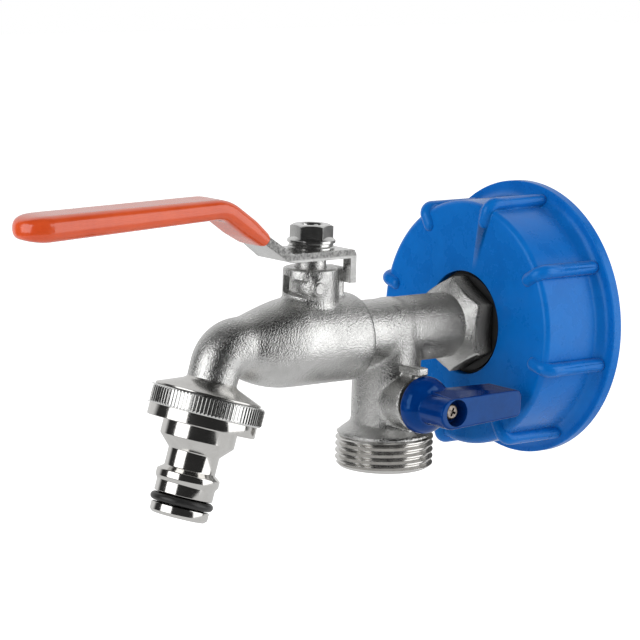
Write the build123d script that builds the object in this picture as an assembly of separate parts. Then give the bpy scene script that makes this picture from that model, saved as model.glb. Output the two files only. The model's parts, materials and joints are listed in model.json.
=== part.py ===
from build123d import *
from math import cos, radians, sin, sqrt, tan
import os

os.makedirs("parts", exist_ok=True)

# Twin-outlet ball tap on the swivel cap of a liquid container, in millimetres.
# The origin is the centre of the cap's mouth. +X leaves the mouth towards the container,
# +Z is up, and the main spout points along -X.

# Clearances
running = 0.05            # radial, between a turning shaft and its bore
screwed = 0.03            # radial, between two pieces screwed together
seated = 0.02             # between a ball and its seats
free_gap = 0.3            # between a moving piece and what it passes
past = 1.0                # how far a cutter runs past the surface it cuts

# Swivel cap
cap_depth = 23.5          # mouth to front face
cap_front_wall = 4.0
cap_edge_round = 1.6      # front edge of the barrel
cap_hole_r = 14.2
cap_thread_r = 28.4       # crest of the female 60 x 6 coarse thread
cap_thread_length = 13.0
cap_thread_depth = 1.2    # the run-out behind the thread is this much wider
cap_wall = 4.2            # from the run-out to the outside of the barrel
flange_reach = 4.25       # beyond the barrel
flange_thickness = 2.9
flange_blend = 3.2        # hollow between barrel and flange
rib_count = 8
rib_first_deg = 17.5      # from +Z towards -Y
rib_half_width = 1.9
rib_proud = 2.2           # above the barrel
rib_face_proud = 1.1      # above the front face
rib_start_inset = 4.4     # middle of the rib's round start, inside the barrel's radius

# Carrier ring that holds the tap in the cap, and its seals
carrier_play = 0.8        # between its flange and the cap's thread
carrier_flange_thickness = 3.4
carrier_hub_r = 15.0
tank_seal_play = 0.5      # between the seal and the cap's thread
tank_seal_width = 6.4
tank_seal_thickness = 2.6
inlet_washer_r = 13.3
inlet_washer_thickness = 1.1

# Tap, along the main pipe
outlet_x = -50.5          # axis of the bottom outlet
bare_pipe = 3.65          # between the outlet's stub and the housing
pipe_r = 8.95
pipe_bore_r = 6.4
hex_front_x = -29.2
hex_back_x = -22.6
hex_flats = 23.6
hex_chamfer_r = 10.6      # where the chamfer meets the hexagon's front
hex_turn_deg = 0.0        # a corner stands on top
tail_r = 10.0             # male inlet thread

# Main ball housing
housing_r = 11.5
housing_behind = 14.3     # from the main ball's axis
housing_ahead = 8.7       # from the main ball's axis to where it narrows
housing_edge_round = 1.8
waist_r = 10.1            # halfway between the housing and the bend
waist_drop = 0.4          # of the middle of that section
elbow_r = 7.8             # where the bend starts
bend_lead = 1.0           # straight tube before the bend
chamber_r = 9.8
ball_r = 8.7
ball_bore_r = 5.0
seat_inner_r = 5.2
seat_thickness = 3.0
seat_contact_r = 6.6
seat_back = 2.0           # from the contact circle to the seat's back

# Spout and its threaded end
spout_r = 7.0
spout_bore_r = 4.9
spout_tilt_deg = 16.2     # from straight down, forwards
spout_out = 32.65         # where its axis passes the connector's top face, from the ball's axis
spout_axis_z = -11.88
bend_r = 7.5
elbow_sections = 6
flare_r = 13.9
flare_length = 3.2
flare_lip = 0.5
flare_foot = 0.9          # wider than the spout where the flare starts
spout_thread_r = 12.6
spout_thread_length = 5.3
thread_chamfer = 0.6
lip_gap = 0.2             # between the flare's underside and the connector's top

# Stem and neck
neck_r = 7.3
neck_top_z = 19.25
neck_blend = 1.2          # cast hollow where the neck meets the housing
neck_flat_depth = 1.6     # recess in the neck's front
neck_flat_low_z = 12.8
neck_flat_high_z = 17.2
stem_r = 4.05
tongue_width = 3.0
tongue_reach = 3.6        # half its length across the ball
tongue_low_z = 6.5
stem_low_z = 9.1
stem_flats = 6.0
flats_below = 0.2         # end of the flats below the plate's top
stem_thread_r = 2.75
seal_low_z = 10.3
seal_height = 1.6
seal_depth = 1.1
pin_r = 1.7
pin_z = 14.6
pin_offset_x = -2.8       # from the stem's axis
pin_outer_y = -7.9
pin_chamfer = 0.3
boss_wall = 0.9
boss_outer_y = -7.6
stem_groove_r = 3.1

# Stop lug on the neck, for the lever's tab
lug_length = 9.2          # from the stem's axis
lug_side_y = -3.5
lug_far_y = 2.4
lug_low_z = 10.5

# Lever
lever_low_z = 21.75       # underside of the plate
lever_thickness = 2.35
plate_width = 13.6
strip_width = 10.6
plate_back_x = 10.3       # outer face of the stop tab, from the stem's axis
lower_bend_x = -12.3      # from the stem's axis
rise_deg = 34.5
upper_bend_x = -32.4      # from the stem's axis
handle_droop_deg = 2.1
handle_end_x = -91.5      # from the stem's axis
lower_bend_r = 3.0
upper_bend_r = 9.0
tab_width = 3.15
tab_drop = 6.55           # below the plate's underside
taper_start_x = -12.5     # from the stem's axis
taper_end_x = -22.0
grip_width = 13.2
grip_height = 5.2         # over the rise and the upper bend
grip_end_height = 6.6
grip_mouth_width = 11.8
grip_mouth_height = 4.0
grip_mouth_x = -19.4      # from the stem's axis
grip_corner_ratio = 0.44  # corner radius as a part of the height
grip_end_wall = 1.3       # rubber past the strip's end
grip_taper = 6.0          # from the mouth to the full section
grip_tip_ratio = 0.5      # length of the rounded end as a part of the width

# Lever fastening
washer_r = 6.2
washer_thickness = 0.8
spring_washer_r = 5.8
spring_washer_thickness = 0.95
spring_washer_slit = 0.9
slit_deg = 35.0
nut_flange_r = 6.35
nut_flange_thickness = 0.7
nut_flange_cone = 0.9
nut_flats = 9.9
nut_height = 4.7
nut_crown = 0.1           # height and inset of the crown's chamfer
nut_turn_deg = 22.0
nut_recess = 1.0          # stem end below the nut's top

# Bottom outlet with its small ball
stub_r = 9.25
stub_thread_r = 13.2
stub_low_z = -36.75
stub_thread_length = 9.6
stub_flare = 2.4
stub_blend = 1.5          # cast hollow where the stub meets the pipe
stub_thread_chamfer = 1.1
stub_bore_r = 9.2
stub_bore_depth = 6.6
mini_z = -17.7            # axis of the small ball's stem
mini_ball_r = 6.3
mini_bore_r = 3.3
mini_chamber_r = 6.95
mini_seat_inner_r = 3.6
mini_seat_contact_r = 4.7
mini_seat_back = 1.6
mini_seat_thickness = 2.1
retainer_length = 5.4
retainer_key_flats = 8.0
tee_bore_r = 4.2

# Small stem, gland and boss
mini_boss_r = 7.3
mini_boss_end_y = -13.6
mini_boss_chamfer = 0.5
mini_stem_r = 3.0
mini_neck_r = 2.4
mini_tongue_width = 2.2
mini_tongue_reach = 2.5
mini_tongue_y = -4.7
mini_stem_start_y = -6.7
mini_shoulder_y = -9.8
mini_seal_start_y = -7.6
mini_seal_width = 1.4
mini_seal_depth = 0.8
gland_r = 5.0
gland_proud = 0.5
gland_hex_flats = 8.0
mini_square = 3.4
mini_square_start_y = -15.8
mini_stem_end_y = -24.0

# Small handle
mini_base_r = 7.75
mini_base_back_y = -14.6
mini_base_front_y = -20.4
mini_base_round = 1.5
mini_face_y = -29.0
mini_hub_left_x = -5.4    # from the stem's axis
mini_hub_front_y = -25.1  # floor of the screw recess
mini_recess_r = 3.6
arm_height = 7.2
arm_back_y = -17.4
arm_length = 22.6
arm_corner = 2.0
arm_edge_round = 0.6
arm_drop = 0.3            # middle of the arm below the stem's axis
screw_head_r = 2.1
screw_head_height = 2.0
screw_head_round = 0.6
cross_depth = 0.8
cross_width = 0.6
cross_deg = 20.0
screw_shank_r = 1.25
screw_length = 7.0

# Cast stop above the small handle
stop_width = 3.2
stop_height = 2.1
stop_left_x = -3.1        # from the outlet's axis
stop_end_y = -17.0

# Hose connector, lengths from its top face along its axis
ring_r = 15.1
ring_length = 4.9
ring_round = 0.4
step_r = 14.2
step_end = 8.0
body_r = 9.75
body_end = 11.8
nose_neck_r = 6.7
nose_neck_start = 14.9
nose_neck_end = 19.5
collar_r = 8.3
collar_start = 20.7
collar_end = 22.4
barrel_r = 7.65
barrel_start = 23.4
groove_start = 26.4
groove_end = 29.2
groove_r = 6.15
tip_r = 7.6
connector_length = 32.0
tip_round = 0.8
connector_bore_r = 4.7
connector_floor = 7.0     # bottom of the threaded socket
o_ring_wire_r = 1.05
sleeve_washer_hole_r = 6.2


def about_x(profile):
    """Turn a profile drawn as (x, radius) points about the X axis."""
    return revolve(Plane.XZ * profile, Axis.X)


def ring_x(start, end, outer, inner=0.0):
    """A round bar or ring along X."""
    ring = Plane.YZ.offset(start) * Circle(outer)
    bar = extrude(ring, end - start)
    if inner > 0:
        bar -= extrude(Plane.YZ.offset(start) * Circle(inner), end - start)
    return bar


def ring_z(low, high, outer, inner=0.0, x=0.0):
    """A round bar or ring along Z at the given x."""
    place = Plane.XY.offset(low) * Pos(x, 0)
    bar = extrude(place * Circle(outer), high - low)
    if inner > 0:
        bar -= extrude(place * Circle(inner), high - low)
    return bar


def ring_y(near, far, outer, inner=0.0, x=outlet_x, z=mini_z):
    """A round bar or ring along -Y, from y = near down to y = far."""
    place = Plane(origin=(x, near, z), x_dir=(1, 0, 0), z_dir=(0, -1, 0))
    bar = extrude(place * Circle(outer), near - far)
    if inner > 0:
        bar -= extrude(place * Circle(inner), near - far)
    return bar


def box_between(low, high):
    """A box given by two opposite corners."""
    size = [b - a for a, b in zip(low, high)]
    middle = [(a + b) / 2 for a, b in zip(low, high)]
    return Pos(*middle) * Box(*size)


def closed(points):
    """A face inside straight lines through the points."""
    return make_face(Polyline(*points, close=True))


def meeting_edges(body):
    """Edges where two round forms run into each other, neither straight nor circular."""
    plain = (GeomType.LINE, GeomType.CIRCLE)
    return [edge for edge in body.edges() if edge.geom_type not in plain]


# Union cap

cap_relief_r = cap_thread_r + cap_thread_depth
cap_r = cap_relief_r + cap_wall
flange_r = cap_r + flange_reach


def make_union_cap():
    front = -cap_depth
    blend_x = -flange_thickness - flange_blend
    outline = [
        Line((front, cap_hole_r), (front, cap_r - cap_edge_round)),
        RadiusArc((front, cap_r - cap_edge_round), (front + cap_edge_round, cap_r), cap_edge_round),
        Line((front + cap_edge_round, cap_r), (blend_x, cap_r)),
        RadiusArc((blend_x, cap_r), (-flange_thickness, cap_r + flange_blend), -flange_blend),
        Line((-flange_thickness, cap_r + flange_blend), (-flange_thickness, flange_r)),
        Line((-flange_thickness, flange_r), (0, flange_r)),
        Line((0, flange_r), (0, cap_thread_r)),
        Line((0, cap_thread_r), (-cap_thread_length, cap_thread_r)),
        Line((-cap_thread_length, cap_thread_r), (-cap_thread_length, cap_relief_r)),
        Line((-cap_thread_length, cap_relief_r), (front + cap_front_wall, cap_relief_r)),
        Line((front + cap_front_wall, cap_relief_r), (front + cap_front_wall, cap_hole_r)),
        Line((front + cap_front_wall, cap_hole_r), (front, cap_hole_r)),
    ]
    cap = about_x(make_face(outline))

    # One rib starts on the front face, wraps over the edge and runs out in the flange.
    run_r = cap_r + rib_proud - rib_half_width
    face_x = front - rib_face_proud + rib_half_width
    corner = (face_x, 0, run_r)
    start = (face_x, 0, cap_r - rib_start_inset)
    end = (-flange_thickness, 0, run_r)
    path = FilletPolyline(start, corner, end, radius=cap_edge_round + rib_half_width)
    rib = sweep(Plane(path @ 0, z_dir=path % 0) * Circle(rib_half_width), path=path)
    rib += Pos(*start) * Sphere(rib_half_width)
    hollow = ring_x(front + cap_front_wall / 2, 0, (cap_r + cap_relief_r) / 2)
    rib -= hollow
    for k in range(rib_count):
        cap += Rot(X=rib_first_deg + k * 360 / rib_count) * rib
    return cap


# Carrier ring, washers and seal inside the cap

carrier_front_x = hex_back_x + inlet_washer_thickness
carrier_flange_x = -cap_depth + cap_front_wall + free_gap
carrier_seal_x = carrier_flange_x + carrier_flange_thickness
carrier_end_x = carrier_seal_x + tank_seal_thickness
tail_end_x = carrier_end_x - free_gap
sleeve_r = cap_hole_r - 2 * running
carrier_flange_r = cap_thread_r - carrier_play
tank_seal_outer_r = cap_thread_r - tank_seal_play
tank_seal_inner_r = tank_seal_outer_r - tank_seal_width


def make_carrier_ring():
    ring = ring_x(carrier_front_x, carrier_seal_x, sleeve_r)
    ring += ring_x(carrier_flange_x, carrier_seal_x, carrier_flange_r)
    ring += ring_x(carrier_flange_x, carrier_end_x, carrier_hub_r)
    bore = ring_x(carrier_front_x, carrier_end_x, tail_r + screwed)
    return ring - bore


def make_inlet_washer():
    return ring_x(hex_back_x, carrier_front_x, inlet_washer_r, tail_r + screwed)


def make_tank_seal():
    return ring_x(carrier_seal_x, carrier_end_x, tank_seal_outer_r, tank_seal_inner_r)


# Rear body: tail, hexagon, pipe, bottom outlet, boss and stop

housing_rear_x = outlet_x - stub_r - bare_pipe
ball_x = housing_rear_x - housing_behind
seat_reach = sqrt(ball_r**2 - seat_contact_r**2) + seat_back
chamber_front_x = ball_x - seat_reach
chamber_rear_x = ball_x + seat_reach
mini_seat_reach = sqrt(mini_ball_r**2 - mini_seat_contact_r**2) + mini_seat_back
mini_high_z = mini_z + mini_seat_reach
mini_low_z = mini_z - mini_seat_reach


def make_hexagon():
    prism = extrude(
        Plane.YZ.offset(hex_front_x) * RegularPolygon(hex_flats / 2, 6, major_radius=False, rotation=30),
        hex_back_x - hex_front_x,
    )
    reach = (hex_back_x - hex_front_x) * 2
    cone = closed([
        (hex_front_x, 0),
        (hex_front_x, hex_chamfer_r),
        (hex_front_x + reach, hex_chamfer_r + reach * tan(radians(60))),
        (hex_front_x + reach, 0),
    ])
    return Rot(X=hex_turn_deg) * (prism & about_x(cone))


def make_rear_body():
    thread_top = stub_low_z + stub_thread_length
    body = ring_x(housing_rear_x, hex_front_x + past, pipe_r)
    body += ring_z(thread_top + stub_flare, 0, stub_r, x=outlet_x)
    body += Pos(X=outlet_x) * Sphere(stub_r)
    body = fillet(meeting_edges(body), stub_blend)
    body += ring_x(chamber_rear_x, housing_rear_x, chamber_r - screwed)
    body += make_hexagon()
    body += ring_x(hex_back_x, tail_end_x, tail_r)
    stub = closed([
        (0, thread_top + stub_flare + past),
        (stub_r, thread_top + stub_flare + past),
        (stub_r, thread_top + stub_flare),
        (stub_thread_r - thread_chamfer, thread_top),
        (stub_thread_r, thread_top - thread_chamfer),
        (stub_thread_r, stub_low_z + stub_thread_chamfer),
        (stub_thread_r - stub_thread_chamfer, stub_low_z),
        (0, stub_low_z),
    ])
    body += Pos(X=outlet_x) * revolve(Plane.XZ * stub, Axis.Z)
    boss = ring_y(0, mini_boss_end_y, mini_boss_r)
    boss = chamfer(boss.edges().group_by(Axis.Y)[0], mini_boss_chamfer)
    body += boss
    stop_low_z = mini_z + mini_base_r + free_gap
    body += box_between(
        (outlet_x + stop_left_x, stop_end_y, stop_low_z),
        (outlet_x + stop_left_x + stop_width, -stub_r / 2, stop_low_z + stop_height),
    )
    web_x = outlet_x + stop_left_x + stop_width / 2
    web = closed([
        (-stub_r / 2, stop_low_z + stop_height / 2),
        (mini_boss_end_y + mini_boss_chamfer, stop_low_z + stop_height / 2),
        (mini_boss_end_y + mini_boss_chamfer, mini_z + mini_boss_r * 0.8),
        (-stub_r / 2, mini_z + mini_boss_r * 0.8),
    ])
    body += extrude(Plane.YZ.offset(web_x - stop_width / 4) * web, stop_width / 2)

    body -= ring_x(chamber_rear_x, tail_end_x, pipe_bore_r)
    body -= ring_z(mini_high_z, 0, tee_bore_r, x=outlet_x)
    body -= ring_z(stub_low_z, mini_high_z, mini_chamber_r, x=outlet_x)
    body -= ring_z(stub_low_z, stub_low_z + stub_bore_depth, stub_bore_r, x=outlet_x)
    body -= ring_y(0, mini_boss_end_y, mini_stem_r + running)
    body -= ring_y(mini_shoulder_y, mini_boss_end_y, gland_r + screwed)
    return body


# Front body: housing, neck, spout and its threaded end

spout_dir = Vector(-sin(radians(spout_tilt_deg)), 0, -cos(radians(spout_tilt_deg)))
shoulder_x = ball_x - housing_ahead
spout_axis_x = ball_x - spout_out
connector_top = Vector(spout_axis_x, 0, spout_axis_z)
corner_x = spout_axis_x - spout_axis_z * tan(radians(spout_tilt_deg))
bend_start_x = corner_x + bend_r * tan(radians(90 - spout_tilt_deg) / 2) + bend_lead
connector_plane = Plane(origin=connector_top, x_dir=(0, 1, 0), z_dir=spout_dir)


def spout_path(start_x, end_length):
    """From a point on the main axis round the bend and down the spout."""
    end = connector_top + spout_dir * end_length
    return FilletPolyline((start_x, 0, 0), (corner_x, 0, 0), end, radius=bend_r)


def along_spout(start_x, end_length, radius):
    path = spout_path(start_x, end_length)
    return sweep(Plane(path @ 0, z_dir=path % 0) * Circle(radius), path=path)


def about_spout(points):
    """Turn (radius, length) points about the spout's axis, lengths from the connector's top."""
    return connector_plane * revolve(Plane.XZ * closed(points), Axis.Z)


def section_x(x, radius, drop=0.0):
    return Plane.YZ.offset(x) * Pos(0, -drop) * Circle(radius)


def make_front_body():
    outline = [
        Line((shoulder_x, 0), (housing_rear_x, 0)),
        Line((housing_rear_x, 0), (housing_rear_x, housing_r - housing_edge_round)),
        RadiusArc(
            (housing_rear_x, housing_r - housing_edge_round),
            (housing_rear_x - housing_edge_round, housing_r),
            -housing_edge_round,
        ),
        Line((housing_rear_x - housing_edge_round, housing_r), (shoulder_x, housing_r)),
        Line((shoulder_x, housing_r), (shoulder_x, 0)),
    ]
    body = about_x(make_face(outline))
    body += ring_z(0, neck_top_z, neck_r, x=ball_x)
    body = fillet(meeting_edges(body), neck_blend)
    # The cast taper sags a little halfway, and the bend narrows towards the flare.
    body += loft([
        section_x(shoulder_x, housing_r),
        section_x((shoulder_x + bend_start_x) / 2, waist_r, waist_drop),
        section_x(bend_start_x, elbow_r),
    ])
    path = spout_path(bend_start_x, -flare_length / 2)
    stations = [k / elbow_sections for k in range(elbow_sections + 1)]
    body += loft([
        Plane(path @ t, x_dir=(0, 1, 0), z_dir=path % t) * Circle(elbow_r + (spout_r - elbow_r) * t)
        for t in stations
    ])
    body += about_spout([
        (0, -flare_length - flare_foot),
        (spout_r, -flare_length - flare_foot),
        (spout_r + flare_foot, -flare_length),
        (flare_r, -flare_lip - lip_gap),
        (flare_r, -lip_gap),
        (spout_thread_r, -lip_gap),
        (spout_thread_r, spout_thread_length - thread_chamfer),
        (spout_thread_r - thread_chamfer, spout_thread_length),
        (0, spout_thread_length),
    ])
    body += ring_y(0, boss_outer_y, pin_r + boss_wall, x=ball_x + pin_offset_x, z=pin_z)
    body += box_between(
        (ball_x, lug_side_y, lug_low_z),
        (ball_x + lug_length, lug_far_y, neck_top_z),
    )

    recess = box_between(
        (ball_x - neck_r, -neck_r, neck_flat_low_z),
        (ball_x - neck_r + neck_flat_depth, neck_r / 2, neck_flat_high_z),
    )
    body -= recess
    body -= ring_x(chamber_front_x, housing_rear_x, chamber_r)
    body -= ring_x(bend_start_x, ball_x, spout_bore_r)
    body -= along_spout(bend_start_x, spout_thread_length, spout_bore_r)
    body -= ring_z(0, neck_top_z, stem_r + running, x=ball_x)
    body -= ring_y(0, pin_outer_y, pin_r, x=ball_x + pin_offset_x, z=pin_z)
    return body


# Main ball, seats and stem

def bored_ball(radius, bore_r):
    """A ball about the origin with its flow bore along X."""
    half = sqrt(radius**2 - bore_r**2)
    return about_x(make_face([
        Line((-half, bore_r), (half, bore_r)),
        ThreePointArc((half, bore_r), (0, radius), (-half, bore_r)),
    ]))


def make_ball():
    slot = box_between(
        (ball_x - tongue_width / 2 - running, -ball_r - past, tongue_low_z - free_gap),
        (ball_x + tongue_width / 2 + running, ball_r + past, ball_r + past),
    )
    return Pos(X=ball_x) * bored_ball(ball_r, ball_bore_r) - slot


def seat_profile(outer_r, inner_r, ball_radius, reach, thickness):
    """Half section of a seat as (distance from the ball's centre, radius) points."""
    cup_r = ball_radius + seated
    near = reach - thickness
    rim_r = sqrt(cup_r**2 - near**2)
    throat = sqrt(cup_r**2 - inner_r**2)
    return make_face([
        Line((near, rim_r), (near, outer_r)),
        Line((near, outer_r), (reach, outer_r)),
        Line((reach, outer_r), (reach, inner_r)),
        Line((reach, inner_r), (throat, inner_r)),
        RadiusArc((throat, inner_r), (near, rim_r), -cup_r),
    ])


def make_seat(side):
    """One of the two seats of the main ball: side is -1 at the spout, 1 at the pipe."""
    profile = seat_profile(chamber_r - screwed, seat_inner_r, ball_r, seat_reach, seat_thickness)
    return Pos(X=ball_x) * Rot(Z=90 - side * 90) * about_x(profile)


lever_high_z = lever_low_z + lever_thickness
washer_high_z = lever_high_z + washer_thickness
spring_high_z = washer_high_z + spring_washer_thickness
nut_high_z = spring_high_z + nut_height


def make_stem():
    stem = ring_z(stem_low_z, lever_low_z, stem_r, x=ball_x)
    stem += ring_z(lever_low_z, lever_high_z - flats_below, stem_r, x=ball_x) & box_between(
        (ball_x - stem_r, -stem_flats / 2, lever_low_z),
        (ball_x + stem_r, stem_flats / 2, lever_high_z),
    )
    stem += ring_z(lever_low_z, nut_high_z - nut_recess, stem_thread_r, x=ball_x)
    stem += box_between(
        (ball_x - tongue_width / 2, -tongue_reach, tongue_low_z),
        (ball_x + tongue_width / 2, tongue_reach, stem_low_z),
    )
    groove_half = pin_r + running
    stem -= ring_z(pin_z - groove_half, pin_z + groove_half, stem_r + past, stem_groove_r, x=ball_x)
    stem -= ring_z(seal_low_z, seal_low_z + seal_height, stem_r + past, stem_r - seal_depth, x=ball_x)
    return stem


def make_stem_seal():
    seal_high_z = seal_low_z + seal_height
    return ring_z(seal_low_z, seal_high_z, stem_r + running / 2, stem_r - seal_depth, x=ball_x)


def make_retaining_pin():
    inner_y = -stem_groove_r - free_gap / 2
    pin = ring_y(inner_y, pin_outer_y, pin_r, x=ball_x + pin_offset_x, z=pin_z)
    return chamfer(pin.edges().group_by(Axis.Y)[0], pin_chamfer)


# Lever and grip

plate_mid_z = lever_low_z + lever_thickness / 2
rise = tan(radians(rise_deg))
upper_z = plate_mid_z + (lower_bend_x - upper_bend_x) * rise
handle_z = upper_z + (handle_end_x - upper_bend_x) * tan(radians(handle_droop_deg))


def lever_line(start_x, end_x):
    """Middle of the lever's strip, from a place on the rise or plate to a place on the handle."""
    def height(x):
        if x > lower_bend_x:
            return plate_mid_z
        if x > upper_bend_x:
            return plate_mid_z + (lower_bend_x - x) * rise
        return upper_z + (x - upper_bend_x) * tan(radians(handle_droop_deg))

    points = [(start_x, height(start_x))]
    radii = []
    if start_x > lower_bend_x:
        points.append((lower_bend_x, height(lower_bend_x)))
        radii.append(lower_bend_r)
    points.append((upper_bend_x, upper_z))
    radii.append(upper_bend_r)
    points.append((end_x, height(end_x)))
    spots = [(ball_x + x, 0, z) for x, z in points]
    return FilletPolyline(*spots, radius=radii)


def make_lever():
    path = lever_line(0, handle_end_x)
    section = Plane(path @ 0, x_dir=(0, 1, 0), z_dir=path % 0) * Rectangle(plate_width, lever_thickness)
    strip = sweep(section, path=path)
    strip += box_between(
        (ball_x, -plate_width / 2, lever_low_z),
        (ball_x + plate_back_x, plate_width / 2, lever_high_z),
    )
    # Plan outline: full width at the plate, narrower along the handle, with a round end
    end_r = strip_width / 2
    outline = make_face([
        Line((plate_back_x, -plate_width / 2), (plate_back_x, plate_width / 2)),
        Line((plate_back_x, plate_width / 2), (taper_start_x, plate_width / 2)),
        Line((taper_start_x, plate_width / 2), (taper_end_x, end_r)),
        Line((taper_end_x, end_r), (handle_end_x + end_r, end_r)),
        ThreePointArc(
            (handle_end_x + end_r, end_r), (handle_end_x, 0), (handle_end_x + end_r, -end_r)
        ),
        Line((handle_end_x + end_r, -end_r), (taper_end_x, -end_r)),
        Line((taper_end_x, -end_r), (taper_start_x, -plate_width / 2)),
        Line((taper_start_x, -plate_width / 2), (plate_back_x, -plate_width / 2)),
    ])
    lever = strip & extrude(Plane.XY * Pos(ball_x, 0) * outline, upper_z + 10)
    outer_edge = lever.edges().filter_by(Axis.Y).group_by(Axis.X)[-1].sort_by(Axis.Z)[-1]
    lever = fillet(outer_edge, lever_thickness * 0.8)
    tab = box_between(
        (ball_x + plate_back_x - lever_thickness, -plate_width / 2, lever_low_z - tab_drop),
        (ball_x + plate_back_x, -plate_width / 2 + tab_width, lever_low_z + lever_thickness * 0.15),
    )
    lever += tab
    hole = ring_z(lever_low_z, lever_high_z, stem_r + running, x=ball_x) & box_between(
        (ball_x - stem_r - past, -stem_flats / 2 - running, lever_low_z),
        (ball_x + stem_r + past, stem_flats / 2 + running, lever_high_z),
    )
    return lever - hole


def grip_section(path, distance, width, height):
    at = distance / path.length
    place = Plane(path @ at, x_dir=(0, 1, 0), z_dir=path % at)
    return place * RectangleRounded(width, height, min(width, height) * grip_corner_ratio)


def make_grip(lever):
    path = lever_line(grip_mouth_x, handle_end_x - grip_end_wall)
    total = path.length
    tip = grip_width * grip_tip_ratio
    straight = path.edges()[-1].length
    bend_end = total - straight
    middle = path.trim(grip_taper / total, bend_end / total)
    grip = loft([
        grip_section(path, 0, grip_mouth_width, grip_mouth_height),
        grip_section(path, grip_taper, grip_width, grip_height),
    ])
    grip += sweep(grip_section(path, grip_taper, grip_width, grip_height), path=middle)
    grip += loft([
        grip_section(path, bend_end, grip_width, grip_height),
        grip_section(path, total - tip, grip_width, grip_end_height),
    ])
    rounds = []
    for angle in (0, 25, 45, 62, 76, 86):
        turn = radians(angle)
        width = grip_width - 2 * tip * (1 - cos(turn))
        height = grip_end_height * (0.4 + 0.6 * cos(turn))
        rounds.append(grip_section(path, total - tip + tip * sin(turn), width, height))
    grip += loft(rounds)
    return grip - lever


# Lever fastening

def make_washer():
    return ring_z(lever_high_z, washer_high_z, washer_r, stem_thread_r + free_gap, x=ball_x)


def make_spring_washer():
    ring = ring_z(washer_high_z, spring_high_z, spring_washer_r, stem_thread_r + free_gap, x=ball_x)
    slit = Box(spring_washer_slit, spring_washer_r * 1.2, spring_washer_thickness * 3)
    slit = Pos(ball_x, -spring_washer_r, (washer_high_z + spring_high_z) / 2) * Rot(Y=slit_deg) * slit
    return ring - slit


def make_nut():
    flange = closed([
        (0, 0),
        (nut_flange_r, 0),
        (nut_flange_r, nut_flange_thickness),
        (nut_flats / 2, nut_flange_thickness + nut_flange_cone),
        (0, nut_flange_thickness + nut_flange_cone),
    ])
    nut = revolve(Plane.XZ * flange, Axis.Z)
    corner_r = nut_flats / 2 / cos(radians(30))
    hexagon = extrude(RegularPolygon(corner_r, 6, rotation=nut_turn_deg), nut_height)
    crown = closed([
        (0, 0),
        (corner_r + past, 0),
        (corner_r + past, nut_height - nut_crown - past / 2),
        (nut_flats / 2 - nut_crown, nut_height),
        (0, nut_height),
    ])
    nut += hexagon & revolve(Plane.XZ * crown, Axis.Z)
    nut -= Cylinder(stem_thread_r + screwed, nut_height * 3)
    return Pos(ball_x, 0, spring_high_z) * nut


# Small ball, seats, retainer and stem

def make_mini_ball():
    slot = box_between(
        (outlet_x - mini_tongue_width / 2 - running, -mini_ball_r - past, mini_z - mini_ball_r - past),
        (outlet_x + mini_tongue_width / 2 + running, mini_tongue_y + free_gap, mini_z + mini_ball_r + past),
    )
    return Pos(outlet_x, 0, mini_z) * bored_ball(mini_ball_r, mini_bore_r) - slot


def make_mini_seat(side):
    """A seat of the small ball: side is 1 above it and -1 below it."""
    profile = seat_profile(
        mini_chamber_r - screwed, mini_seat_inner_r, mini_ball_r, mini_seat_reach, mini_seat_thickness
    )
    return Pos(outlet_x, 0, mini_z) * Rot(Y=-side * 90) * about_x(profile)


def make_seat_retainer():
    high = mini_low_z
    ring = ring_z(high - retainer_length, high, mini_chamber_r - screwed, mini_seat_inner_r, x=outlet_x)
    key = extrude(
        Plane.XY.offset(high - retainer_length) * Pos(outlet_x, 0)
        * RegularPolygon(retainer_key_flats / 2, 6, major_radius=False),
        retainer_length / 2,
    )
    return ring - key


def make_mini_stem():
    stem = ring_y(mini_stem_start_y, mini_shoulder_y + running, mini_stem_r)
    stem += ring_y(mini_shoulder_y + running, mini_square_start_y, mini_neck_r)
    stem += box_between(
        (outlet_x - mini_tongue_width / 2, mini_stem_start_y, mini_z - mini_tongue_reach),
        (outlet_x + mini_tongue_width / 2, mini_tongue_y, mini_z + mini_tongue_reach),
    )
    stem += box_between(
        (outlet_x - mini_square / 2, mini_stem_end_y, mini_z - mini_square / 2),
        (outlet_x + mini_square / 2, mini_square_start_y, mini_z + mini_square / 2),
    )
    seal_end = mini_seal_start_y - mini_seal_width
    stem -= ring_y(mini_seal_start_y, seal_end, mini_stem_r + past, mini_stem_r - mini_seal_depth)
    stem -= ring_y(mini_stem_end_y + screw_length, mini_stem_end_y, screw_shank_r)
    return stem


def make_mini_stem_seal():
    seal_end = mini_seal_start_y - mini_seal_width
    return ring_y(mini_seal_start_y, seal_end, mini_stem_r + running / 2, mini_stem_r - mini_seal_depth)


def make_gland():
    end_y = mini_boss_end_y - gland_proud
    gland = ring_y(mini_shoulder_y, mini_boss_end_y, gland_r, mini_neck_r + running)
    hexagon = Plane(origin=(outlet_x, mini_boss_end_y, mini_z), x_dir=(1, 0, 0), z_dir=(0, -1, 0))
    gland += extrude(hexagon * RegularPolygon(gland_hex_flats / 2, 6, major_radius=False), gland_proud)
    return gland - ring_y(mini_shoulder_y, end_y, mini_neck_r + running)


# Small handle and its screw

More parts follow.
